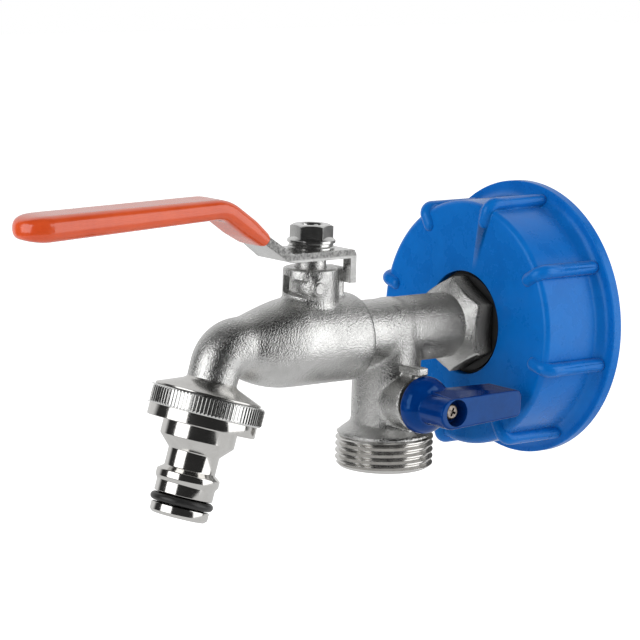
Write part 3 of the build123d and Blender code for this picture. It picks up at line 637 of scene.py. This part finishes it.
def makeCastRear():
    size = rearSize
    body = rod("castRear", size["pipe"], size["pipeStart"], size["pipeEnd"], 96)
    placed(body, alongPipe)
    crown = arcPoints((0, 0), size["stub"], 90, 0, 16)
    stub = turned("castStub", crown + [(size["stub"], size["flareTop"]),
                               (size["flareRadius"], size["flareFoot"]), (size["flareRadius"], size["stubEnd"]),
                               (0, size["stubEnd"])], 96)
    boss = rod("smallBoss", size["boss"], 0, -size["bossEnd"], 72)
    x = axes["outletX"] + size["stopLeft"]
    stop = block("smallStop", (x, size["stopEnd"], size["stopLow"]),
                 (x + size["stopWidth"], -4, size["stopLow"] + size["stopHeight"]))
    web = block("smallWeb", (x + 0.8, -13.0, -12.5), (x + size["stopWidth"] - 0.8, -4, size["stopLow"] + 1.0))
    for part in (placed(stub, atOutlet), placed(boss, atSmallStem), web):
        combined(body, part, "UNION")
    useModifier(body, "REMESH", mode="VOXEL", voxel_size=size["voxel"] * mm)
    useModifier(body, "SMOOTH", factor=0.5, iterations=size["rounds"])
    combined(body, bevelled(stop, 0.4, 4), "UNION")
    bore = rod("stubBore", size["chamber"], size["stubEnd"] - 2, size["chamberTop"], 72)
    combined(body, placed(bore, atOutlet), "DIFFERENCE")
    return body


hexSize = {"front": -30.5, "back": -22.6, "flats": 22.9, "chamfer": 8.6, "slope": 58.0, "edge": 0.7}


def makeInletHexagon():
    size = hexSize
    clearSelection()
    bpy.ops.mesh.primitive_cylinder_add(
        vertices=6, radius=size["flats"] / sqrt(3) * mm, depth=(size["back"] - size["front"]) * mm,
        location=(0, 0, (size["back"] + size["front"]) / 2 * mm), rotation=(0, 0, 0),
    )
    hexagon = bpy.context.object
    hexagon.name = "inletHexagon"
    bpy.ops.object.transform_apply(location=True, rotation=True, scale=True)
    deep = size["back"] - size["front"] + 1
    cone = turned("hexCone", [(0, size["front"]), (size["chamfer"], size["front"]),
                              (size["chamfer"] + deep * tan(radians(size["slope"])), size["front"] + deep),
                              (0, size["front"] + deep)], 96)
    combined(hexagon, cone, "INTERSECT")
    bevelled(hexagon, size["edge"], 4, 20)
    placed(hexagon, Matrix.Rotation(radians(30), 4, "X") @ alongPipe)
    return hexagon


nodes["main_stem"].data.materials[0] = castNickel
castFront = smoothed(makeCastFront(), 40)
finished(castFront, castNickel, "tap", "cast_nickel", "front_body")
castRear = smoothed(makeCastRear(), 40)
finished(castRear, castNickel, "tap", "cast_nickel", "rear_body")
inletHexagon = smoothed(makeInletHexagon(), 25)
finished(inletHexagon, castNickel, "tap", "cast_nickel")
print("cast bodies made")


# Threaded outlet

outletSize = {
    "low": -36.75, "top": -27.2, "radius": 13.2, "depth": 1.0, "pitch": 1.814, "bore": 9.2, "boreTop": -30.15,
    "chamfer": 1.1,
}


def makeOutletThread():
    size = outletSize
    core = size["radius"] - size["depth"]
    outline = [(size["bore"], size["low"]), (core - 0.6, size["low"]), (core, size["low"] + 0.5),
               (core, size["top"] - 0.2), (core - 0.4, size["top"]), (6.95, size["top"]), (6.95, size["boreTop"]),
               (size["bore"], size["boreTop"]), (size["bore"], size["low"])]
    ring = turned("outletThread", outline, 144)
    clearSelection()
    bpy.ops.mesh.primitive_plane_add(size=mm)
    ridge = bpy.context.object
    editAll(ridge)
    bpy.ops.mesh.merge(type="CENTER")
    half = size["pitch"] / 2 - 0.12
    loop = [(core - 0.3, -half), (core, -half), (size["radius"], -0.16), (size["radius"], 0.16), (core, half),
            (core - 0.3, half), (core - 0.3, -half)]
    bpy.ops.transform.translate(value=(loop[0][0] * mm, 0, (loop[0][1] + size["low"] - 0.4) * mm))
    for before, after in zip(loop, loop[1:]):
        step = ((after[0] - before[0]) * mm, 0, (after[1] - before[1]) * mm)
        bpy.ops.mesh.extrude_vertices_move(TRANSFORM_OT_translate={"value": step})
    bpy.ops.mesh.select_all(action="SELECT")
    bpy.ops.mesh.remove_doubles(threshold=0.002 * mm)
    leaveEdit()
    turns = 5.5
    useModifier(ridge, "SCREW", steps=int(96 * turns), render_steps=int(96 * turns), angle=2 * pi * turns,
                screw_offset=size["pitch"] * turns * mm, iterations=1, axis="Z", use_merge_vertices=False)
    editAll(ridge)
    bpy.ops.mesh.select_all(action="DESELECT")
    bpy.ops.mesh.select_mode(type="EDGE")
    bpy.ops.mesh.select_non_manifold()
    bpy.ops.mesh.fill()
    bpy.ops.mesh.select_mode(type="VERT")
    bpy.ops.mesh.select_all(action="SELECT")
    bpy.ops.mesh.normals_make_consistent(inside=False)
    leaveEdit()
    trim = turned("threadTrim", [(0, size["low"]), (size["radius"] - size["chamfer"], size["low"]),
                                 (size["radius"] + 0.3, size["low"] + size["chamfer"] + 0.3),
                                 (size["radius"] + 0.3, size["top"] - 0.5), (0, size["top"] - 0.2)], 96)
    combined(ridge, trim, "INTERSECT")
    combined(ring, ridge, "UNION")
    placed(ring, atOutlet)
    return ring


outletThread = smoothed(makeOutletThread(), 30)
finished(outletThread, machinedNickel, "tap", "cast_nickel")
print("outlet thread made")


# Hose connector with its knurled ring

connectorSize = {
    "ring": 15.25, "ringLength": 4.9, "step": 14.2, "stepEnd": 8.0, "body": 9.75, "bodyEnd": 11.8,
    "neck": 6.7, "neckStart": 14.9, "neckEnd": 19.5, "collar": 8.3, "collarStart": 20.7, "collarEnd": 22.4,
    "barrel": 7.65, "barrelStart": 23.4, "groove": 6.15, "grooveStart": 26.4, "grooveEnd": 29.2,
    "tip": 7.6, "tipEdge": 0.75, "length": 32.0, "bore": 4.7, "teeth": 96, "toothDepth": 0.34, "ringEdge": 0.55,
}


def makeConnector():
    size = connectorSize
    outline = [
        (size["bore"], size["stepEnd"] - 1.0), (size["step"], size["ringLength"] - 0.1),
        (size["step"], size["stepEnd"]), (size["body"], size["stepEnd"]), (size["body"], size["bodyEnd"]),
        (size["neck"], size["neckStart"]), (size["neck"], size["neckEnd"]),
        (size["collar"], size["collarStart"]), (size["collar"], size["collarEnd"]),
        (size["barrel"], size["barrelStart"]), (size["barrel"], size["grooveStart"]),
        (size["groove"], size["grooveStart"]), (size["groove"], size["grooveEnd"]),
        (size["tip"], size["grooveEnd"]), (size["tip"], size["length"] - size["tipEdge"]),
        (size["tip"] - size["tipEdge"], size["length"]), (size["bore"], size["length"]),
        (size["bore"], size["stepEnd"] - 1.0),
    ]
    shell = turned("hoseConnector", outline, 160)
    bevelled(shell, 0.22, 3, 20)
    placed(shell, atSpout)
    return shell


def makeKnurledRing():
    # every tooth has two outer and two inner corners; cones trim both edges
    size = connectorSize
    clearSelection()
    bpy.ops.mesh.primitive_circle_add(vertices=size["teeth"] * 4, radius=size["ring"] * mm, fill_type="NGON")
    ring = bpy.context.object
    ring.name = "knurledRing"
    editAll(ring)
    bpy.ops.mesh.select_all(action="DESELECT")
    leaveEdit()
    for k, vertex in enumerate(ring.data.vertices):
        vertex.select = k % 4 in (0, 1)
    bpy.ops.object.mode_set(mode="EDIT")
    inside = 1 - size["toothDepth"] / size["ring"]
    bpy.ops.transform.resize(value=(inside, inside, 1), center_override=(0, 0, 0))
    bpy.ops.mesh.select_all(action="SELECT")
    bpy.ops.mesh.extrude_region_move(TRANSFORM_OT_translate={"value": (0, 0, size["ringLength"] * mm)})
    bpy.ops.mesh.select_all(action="SELECT")
    bpy.ops.mesh.normals_make_consistent(inside=False)
    leaveEdit()
    edge, past, top, radius = size["ringEdge"], 0.3, size["ringLength"], size["ring"]
    outline = [(size["bore"], -past), (radius - edge - past, -past), (radius + past, edge + past),
               (radius + past, top - edge - past), (radius - edge - past, top + past), (size["bore"], top + past),
               (size["bore"], -past)]
    combined(ring, turned("ringLimits", outline, 160), "INTERSECT")
    placed(ring, atSpout)
    return ring


connector = smoothed(makeConnector(), 30)
finished(connector, turnedNickel, "tap", "turned_nickel", "hose_connector")
knurledRing = smoothed(makeKnurledRing(), 25)
finished(knurledRing, knurlNickel, "tap", "turned_nickel")


flareSize = {"radius": 13.9, "length": 3.2, "lip": 0.5, "foot": 0.9, "gap": 0.1, "spout": 6.6, "bore": 4.9}


def makeFlare():
    size = flareSize
    outline = [(size["bore"], -size["length"] - size["foot"]), (size["spout"] - 0.1, -size["length"] - size["foot"])]
    outline += [(size["spout"] + 0.25, -size["length"] - size["foot"] * 0.45), (size["spout"] + size["foot"], -size["length"])]
    outline += [(size["radius"], -size["lip"] - size["gap"]), (size["radius"], -size["gap"]), (size["bore"], -size["gap"])]
    outline.append(outline[0])
    flare = turned("spoutFlare", outline, 128)
    bevelled(flare, 0.15, 2, 30)
    placed(flare, atSpout)
    return flare


spoutFlare = smoothed(makeFlare(), 30)
finished(spoutFlare, machinedNickel, "tap", "cast_nickel")
print("connector made")


# Lever and its fastening

leverSize = {
    "plateLow": 21.75, "plateHigh": 24.1, "washer": 6.2, "washerHigh": 24.9, "spring": 5.8, "springHigh": 25.85,
    "hole": 3.05, "slit": 0.9, "slitTurn": 35.0,
    "flange": 6.35, "flangeHigh": 0.7, "coneHigh": 1.6, "flats": 9.9, "nutHeight": 4.7, "nutTurn": 22.0,
    "stemRadius": 2.75, "stemTop": 29.55, "edge": 0.22, "slopeX": -85.0, "slopeShift": 0.7, "tabX": -68.2,
    "tabShift": -0.35,
}


def makeNut():
    size = leverSize
    base = size["springHigh"]
    corner = size["flats"] / sqrt(3)
    top = size["nutHeight"]
    clearSelection()
    bpy.ops.mesh.primitive_cylinder_add(vertices=6, radius=corner * mm, depth=top * mm, location=(0, 0, top / 2 * mm))
    nut = bpy.context.object
    nut.name = "leverNut"
    bpy.ops.object.transform_apply(location=True, rotation=True, scale=True)
    placed(nut, Matrix.Rotation(radians(size["nutTurn"] - 30), 4, "Z"))
    crown = turned("nutCrown", [(0, 0.1), (corner + 1, 0.1), (corner + 1, top - 1.0), (corner * 0.83, top), (0, top)], 96)
    combined(nut, crown, "INTERSECT")
    flange = turned("nutFlange", [(0, 0), (size["flange"], 0), (size["flange"], size["flangeHigh"]),
                                  (size["flats"] / 2, size["coneHigh"]), (0, size["coneHigh"])], 96)
    combined(nut, flange, "UNION")
    hole = turned("nutHole", [(0, -1), (size["stemRadius"], -1), (size["stemRadius"], top - 0.55),
                              (size["stemRadius"] + 0.45, top + 0.2), (0, top + 0.2)], 64)
    combined(nut, hole, "DIFFERENCE")
    bevelled(nut, 0.13, 3, 25)
    return placed(nut, atStem @ Matrix.Translation((0, 0, base * mm)))


def makeRing(name, radius, hole, low, high, slit=False):
    edge = leverSize["edge"]
    outline = [(hole, low), (radius - edge, low), (radius, low + edge), (radius, high - edge), (radius - edge, high),
               (hole, high), (hole, low)]
    ring = turned(name, outline, 96)
    if slit:
        cut = block("slit", (-leverSize["slit"] / 2, -radius - 1, -2), (leverSize["slit"] / 2, -1, 2))
        middle = Matrix.Translation((0, 0, (low + high) / 2 * mm))
        placed(cut, middle @ Matrix.Rotation(radians(leverSize["slitTurn"]), 4, "Y"))
        combined(ring, cut, "DIFFERENCE")
    return placed(ring, atStem)


def makeMainStem():
    size = leverSize
    top, radius = size["stemTop"], size["stemRadius"]
    outline = [(0, 17.5), (4.05, 17.5), (4.05, size["plateLow"] - 0.02), (radius, size["plateLow"] - 0.02),
               (radius, top - 0.5), (radius - 0.5, top), (1.1, top), (0.5, top - 0.45), (0, top - 0.5)]
    stem = turned("stemTop", outline, 96)
    bevelled(stem, 0.12, 2, 30)
    return placed(stem, atStem)


leverPlate = cadCopy("leverPlate", "lever")
pick(leverPlate)
useModifier(leverPlate, "DECIMATE", decimate_type="DISSOLVE", angle_limit=radians(1.0))
nudge(leverPlate, lambda spot: spot.x < leverSize["slopeX"] * mm, (leverSize["slopeShift"], 0, 0))
nudge(leverPlate, lambda spot: spot.x > leverSize["tabX"] * mm, (leverSize["tabShift"], 0, 0))
bevelled(leverPlate, 0.28, 3, 35)
finished(smoothed(leverPlate, 35), zincSteel, "lever_valve", "zinc_steel", "lever")
leverPlate.data.materials.append(shearedSteel)
for face in leverPlate.data.polygons:
    if abs(face.normal.y) > 0.85:
        face.material_index = 1

gripSize = {"mouth": (-97.1, 0, 27.8), "rise": 34.5, "core": -95.6, "voxel": 0.3, "rounds": 40, "rim": 0.45,
            "tipStart": -163.5, "tipRounds": 20, "wider": 1.02, "straightX": -120.0, "shorter": 0.992}


def makeGrip():
    # the dip is solid here: the strip's copy fills it, and the mouth is cut square to the strip
    size = gripSize
    grip = cadCopy("dippedGrip", "lever_grip")
    core = cadCopy("gripCore", "lever")
    combined(core, block("coreLimits", (-180, -20, 0), (size["core"], 20, 60)), "INTERSECT")
    combined(grip, core, "UNION")
    useModifier(grip, "REMESH", mode="VOXEL", voxel_size=size["voxel"] * mm)
    useModifier(grip, "SMOOTH", factor=0.5, iterations=size["rounds"])
    editAll(grip)
    bpy.ops.transform.resize(value=(1, size["wider"], 1), center_override=(0, 0, 0))
    bpy.ops.mesh.select_all(action="DESELECT")
    leaveEdit()
    for vertex in grip.data.vertices:
        vertex.select = vertex.co.x < size["straightX"] * mm
    bpy.ops.object.mode_set(mode="EDIT")
    bpy.ops.transform.resize(value=(size["shorter"], 1, 1), center_override=(size["straightX"] * mm, 0, 0))
    bpy.ops.mesh.select_all(action="DESELECT")
    leaveEdit()
    for vertex in grip.data.vertices:
        vertex.select = vertex.co.x < size["tipStart"] * mm
    bpy.ops.object.mode_set(mode="EDIT")
    bpy.ops.mesh.vertices_smooth(factor=0.5, repeat=size["tipRounds"])
    bpy.ops.mesh.select_all(action="SELECT")
    rise = radians(size["rise"])
    bpy.ops.mesh.bisect(plane_co=[v * mm for v in size["mouth"]], plane_no=(-cos(rise), 0, sin(rise)),
                        use_fill=True, clear_inner=True)
    leaveEdit()
    placed(grip, Matrix.Translation((leverSize["slopeShift"] * mm, 0, 0)))
    return bevelled(grip, size["rim"], 3, 50)


grip = makeGrip()
finished(smoothed(grip, 60), gripOrange, "lever_valve", "grip_orange", "lever_grip")

nut = finished(smoothed(makeNut(), 35), zincSteel, "lever_valve", "zinc_steel", "lever_nut")
washer = makeRing("plainWasher", leverSize["washer"], leverSize["hole"], leverSize["plateHigh"],
                  leverSize["washerHigh"])
finished(smoothed(washer, 35), zincSteel, "lever_valve", "zinc_steel", "lever_washer")
pin = cadCopy("neckPin", "stem_retaining_pin")
bevelled(pin, 0.55, 4, 60)
finished(smoothed(pin, 40), castNickel, "tap", "turned_nickel", "stem_retaining_pin")
springWasher = makeRing("springWasher", leverSize["spring"], leverSize["hole"], leverSize["washerHigh"],
                        leverSize["springHigh"])
finished(smoothed(springWasher, 35), zincSteel, "lever_valve", "zinc_steel", "lever_spring_washer")
print("lever made")


# Small handle

handleSize = {
    "base": 7.75, "back": 14.6, "backRound": 0.8, "domeStart": 15.9, "dome": 5.4,
    "hub": 4.05, "hubX": -1.35, "tip": 23.0, "tipHalf": 3.6, "corner": 1.9, "face": 29.0, "armBack": 17.4,
    "drop": 0.3, "backRise": 0.8, "recess": 3.6, "recessFloor": 25.1, "voxel": 0.22, "rounds": 8,
}


def makeSmallHandle():
    # a domed foot, a round hub and a bar; the hub's front holds the screw's recess
    size = handleSize
    outline = [(0, size["back"])]
    outline += arcPoints((size["base"] - size["backRound"], size["back"] + size["backRound"]),
                         size["backRound"], -90, 0, 4)
    for step in range(13):
        turn = radians(90 * step / 12)
        outline.append((size["base"] * cos(turn), size["domeStart"] + size["dome"] * sin(turn)))
    piece = turned("smallHandle", outline, 96)
    arm = block("handleArm", (size["hubX"], -size["hub"], size["armBack"]), (size["tip"], size["hub"], size["face"]))
    editAll(arm)
    bpy.ops.mesh.select_all(action="DESELECT")
    leaveEdit()
    for vertex in arm.data.vertices:
        vertex.select = vertex.co.x > size["tip"] / 2 * mm
    bpy.ops.object.mode_set(mode="EDIT")
    bpy.ops.transform.resize(value=(1, size["tipHalf"] / size["hub"], 1), center_override=(0, 0, 0))
    leaveEdit()
    for vertex in arm.data.vertices:
        vertex.select = vertex.co.y > 0 and vertex.co.z < size["armBack"] * mm * 1.1
    bpy.ops.object.mode_set(mode="EDIT")
    bpy.ops.transform.translate(value=(0, size["backRise"] * mm, 0))
    bpy.ops.mesh.select_all(action="DESELECT")
    bpy.ops.mesh.select_mode(type="EDGE")
    leaveEdit()
    for edge in arm.data.edges:
        first, last = (arm.data.vertices[k].co for k in edge.vertices)
        edge.select = min(first.x, last.x) > size["tip"] / 2 * mm and abs(first.z - last.z) > 5 * mm
    bpy.ops.object.mode_set(mode="EDIT")
    bpy.ops.mesh.bevel(offset=size["corner"] * mm, segments=6, affect="EDGES")
    bpy.ops.mesh.select_mode(type="VERT")
    leaveEdit()
    hub = rod("handleHub", size["hub"], size["armBack"], size["face"], 72)
    placed(hub, Matrix.Translation((size["hubX"] * mm, 0, 0)))
    placed(joined("handleArm", arm, [hub]), Matrix.Translation((0, -size["drop"] * mm, 0)))
    piece = joined("smallHandle", piece, [arm])
    useModifier(piece, "REMESH", mode="VOXEL", voxel_size=size["voxel"] * mm)
    useModifier(piece, "SMOOTH", factor=0.5, iterations=size["rounds"])
    recess = rod("screwRecess", size["recess"], size["recessFloor"], size["face"] + 1, 64)
    combined(piece, recess, "DIFFERENCE")
    return placed(piece, atSmallStem)


smallHandle = smoothed(makeSmallHandle(), 35)
print("small handle faces", len(smallHandle.data.polygons))
finished(smallHandle, handleBlue, "outlet_valve", "handle_blue", "outlet_handle")
print("small handle made")


# Camera: the photograph's angle

cameraSize = {"azimuth": -39.363, "elevation": 9.298, "roll": 1.58,
              "place": (-0.55243, -0.58319, 0.12831), "lens": 163.5, "sensor": 36.0}


def makeCamera():
    size = cameraSize
    azimuth, elevation, roll = (radians(size[key]) for key in ("azimuth", "elevation", "roll"))
    back = Vector((sin(azimuth) * cos(elevation), -cos(azimuth) * cos(elevation), sin(elevation)))
    right = Vector((cos(azimuth), sin(azimuth), 0))
    up = back.cross(right)
    rightTurned = cos(roll) * right + sin(roll) * up
    upTurned = -sin(roll) * right + cos(roll) * up
    data = bpy.data.cameras.new("photoCamera")
    data.lens = size["lens"]
    data.sensor_width = size["sensor"]
    data.sensor_fit = "HORIZONTAL"
    data.clip_start = 0.01
    camera = bpy.data.objects.new("photoCamera", data)
    bpy.context.scene.collection.objects.link(camera)
    turn = Matrix((rightTurned, upTurned, back)).transposed().to_4x4()
    camera.matrix_world = Matrix.Translation(size["place"]) @ turn
    bpy.context.scene.camera = camera
    return camera


makeCamera()


# Stage and light

lightSize = {
    "floorZ": -0.16, "floorSize": 6.0,
    "left": {"turn": -53.0, "rise": 14.0, "distance": 0.9, "width": 0.72, "height": 0.9, "power": 4.6},
    "right": {"turn": 80.0, "rise": 4.0, "distance": 1.1, "width": 0.95, "height": 1.75, "power": 9.6},
    "tableEdge": 0.45,
}


def toward(turnDeg, riseDeg):
    # a direction from the object, turned from the camera's side: negative is the camera's left
    azimuth = radians(cameraSize["azimuth"])
    front = Vector((sin(azimuth), -cos(azimuth), 0))
    side = Vector((cos(azimuth), sin(azimuth), 0))
    flat = cos(radians(turnDeg)) * front + sin(radians(turnDeg)) * side
    return (flat * cos(radians(riseDeg)) + Vector((0, 0, sin(radians(riseDeg))))).normalized()


def makeLamp(name, size):
    data = bpy.data.lights.new(name, "AREA")
    data.shape = "RECTANGLE"
    data.size = size["width"]
    data.size_y = size["height"]
    data.energy = size["power"]
    lamp = bpy.data.objects.new(name, data)
    bpy.context.scene.collection.objects.link(lamp)
    middle = Vector((-0.08, 0, 0))
    direction = toward(size["turn"], size["rise"])
    lamp.location = middle + direction * size["distance"]
    lamp.rotation_euler = direction.to_track_quat("Z", "Y").to_euler()


makeLamp("leftSoftbox", lightSize["left"])
makeLamp("rightSoftbox", lightSize["right"])


def makeFloor():
    clearSelection()
    bpy.ops.mesh.primitive_plane_add(size=lightSize["floorSize"], location=(0, 0, lightSize["floorZ"]))
    floor = bpy.context.object
    floor.name = "floor"
    material, tree, shader, place = startMaterial("paleFloor")
    cloud = addNode(tree, "TexNoise", {"Vector": place}, Scale=3.0)
    tree.links.new(mixed(tree, cloud.outputs["Fac"], (0.84, 0.84, 0.84), (0.86, 0.86, 0.86)),
                   shader.inputs["Base Color"])
    shader.inputs["Roughness"].default_value = 0.9
    ray = addNode(tree, "LightPath")
    white = addNode(tree, "Emission", Strength=0.8)
    glow = addNode(tree, "Emission", Strength=0.7)
    both = addNode(tree, "AddShader", {0: shader.outputs["BSDF"], 1: white.outputs["Emission"]})
    seen = addNode(tree, "MixShader", {0: ray.outputs["Is Camera Ray"], 1: shader.outputs["BSDF"],
                                       2: both.outputs["Shader"]})
    mirrored = addNode(tree, "MixShader", {0: ray.outputs["Is Glossy Ray"], 1: seen.outputs["Shader"],
                                           2: glow.outputs["Emission"]})
    # past the table's edge, what the metal mirrors is the room and the lamps
    reach = addNode(tree, "VectorMath", {0: place}, operation="LENGTH")
    past = addNode(tree, "Math", {0: reach.outputs["Value"]}, operation="GREATER_THAN")
    past.inputs[1].default_value = lightSize["tableEdge"]
    through = addNode(tree, "Math", {0: ray.outputs["Is Glossy Ray"], 1: ray.outputs["Is Shadow Ray"]},
                      operation="MAXIMUM")
    gone = addNode(tree, "Math", {0: past.outputs[0], 1: through.outputs[0]}, operation="MULTIPLY")
    clear = addNode(tree, "BsdfTransparent")
    edged = addNode(tree, "MixShader", {0: gone.outputs[0], 1: mirrored.outputs["Shader"],
                                        2: clear.outputs["BSDF"]})
    tree.links.new(edged.outputs["Shader"], tree.nodes["Material Output"].inputs["Surface"])
    floor.data.materials.append(material)


makeFloor()


def makeWorld():
    # white to the camera; metal sees a pale back, a dark front and a dim ceiling
    world = bpy.data.worlds.new("studio")
    bpy.context.scene.world = world
    world.use_nodes = True
    tree = world.node_tree
    tree.nodes.clear()
    azimuth = radians(cameraSize["azimuth"])
    spot = addNode(tree, "TexCoord")
    away = addNode(tree, "VectorMath", {0: spot.outputs["Generated"]}, operation="DOT_PRODUCT")
    away.inputs[1].default_value = (-sin(azimuth), cos(azimuth), 0)
    ramp = addNode(tree, "ValToRGB", {"Fac": away.outputs["Value"]})
    ramp.color_ramp.elements[0].position = 0.3
    ramp.color_ramp.elements[0].color = (0.025, 0.025, 0.025, 1)
    ramp.color_ramp.elements[1].position = 0.55
    ramp.color_ramp.elements[1].color = (0.78, 0.78, 0.78, 1)
    split = addNode(tree, "SeparateXYZ", {"Vector": spot.outputs["Generated"]})
    rise = addNode(tree, "ValToRGB", {"Fac": split.outputs["Z"]})
    rise.color_ramp.elements[0].position = 0.8
    rise.color_ramp.elements[0].color = (1, 1, 1, 1)
    rise.color_ramp.elements[1].position = 0.95
    rise.color_ramp.elements[1].color = (0.65, 0.65, 0.65, 1)
    shade = addNode(tree, "MixRGB", {"Color1": ramp.outputs["Color"], "Color2": rise.outputs["Color"]},
                    blend_type="MULTIPLY", Fac=1.0)
    mirror = addNode(tree, "Background", {"Color": shade.outputs["Color"]}, Strength=1.0)
    fill = addNode(tree, "Background", Color=(1, 1, 1, 1), Strength=0.5)
    white = addNode(tree, "Background", Color=(1, 1, 1, 1), Strength=1.0)
    ray = addNode(tree, "LightPath")
    lit = addNode(tree, "MixShader", {0: ray.outputs["Is Glossy Ray"], 1: fill.outputs["Background"],
                                      2: mirror.outputs["Background"]})
    seen = addNode(tree, "MixShader", {0: ray.outputs["Is Camera Ray"], 1: lit.outputs["Shader"],
                                       2: white.outputs["Background"]})
    out = addNode(tree, "OutputWorld")
    tree.links.new(seen.outputs["Shader"], out.inputs["Surface"])


makeWorld()
bpy.context.scene.view_settings.view_transform = "Standard"
print("stage made")

clearSelection()
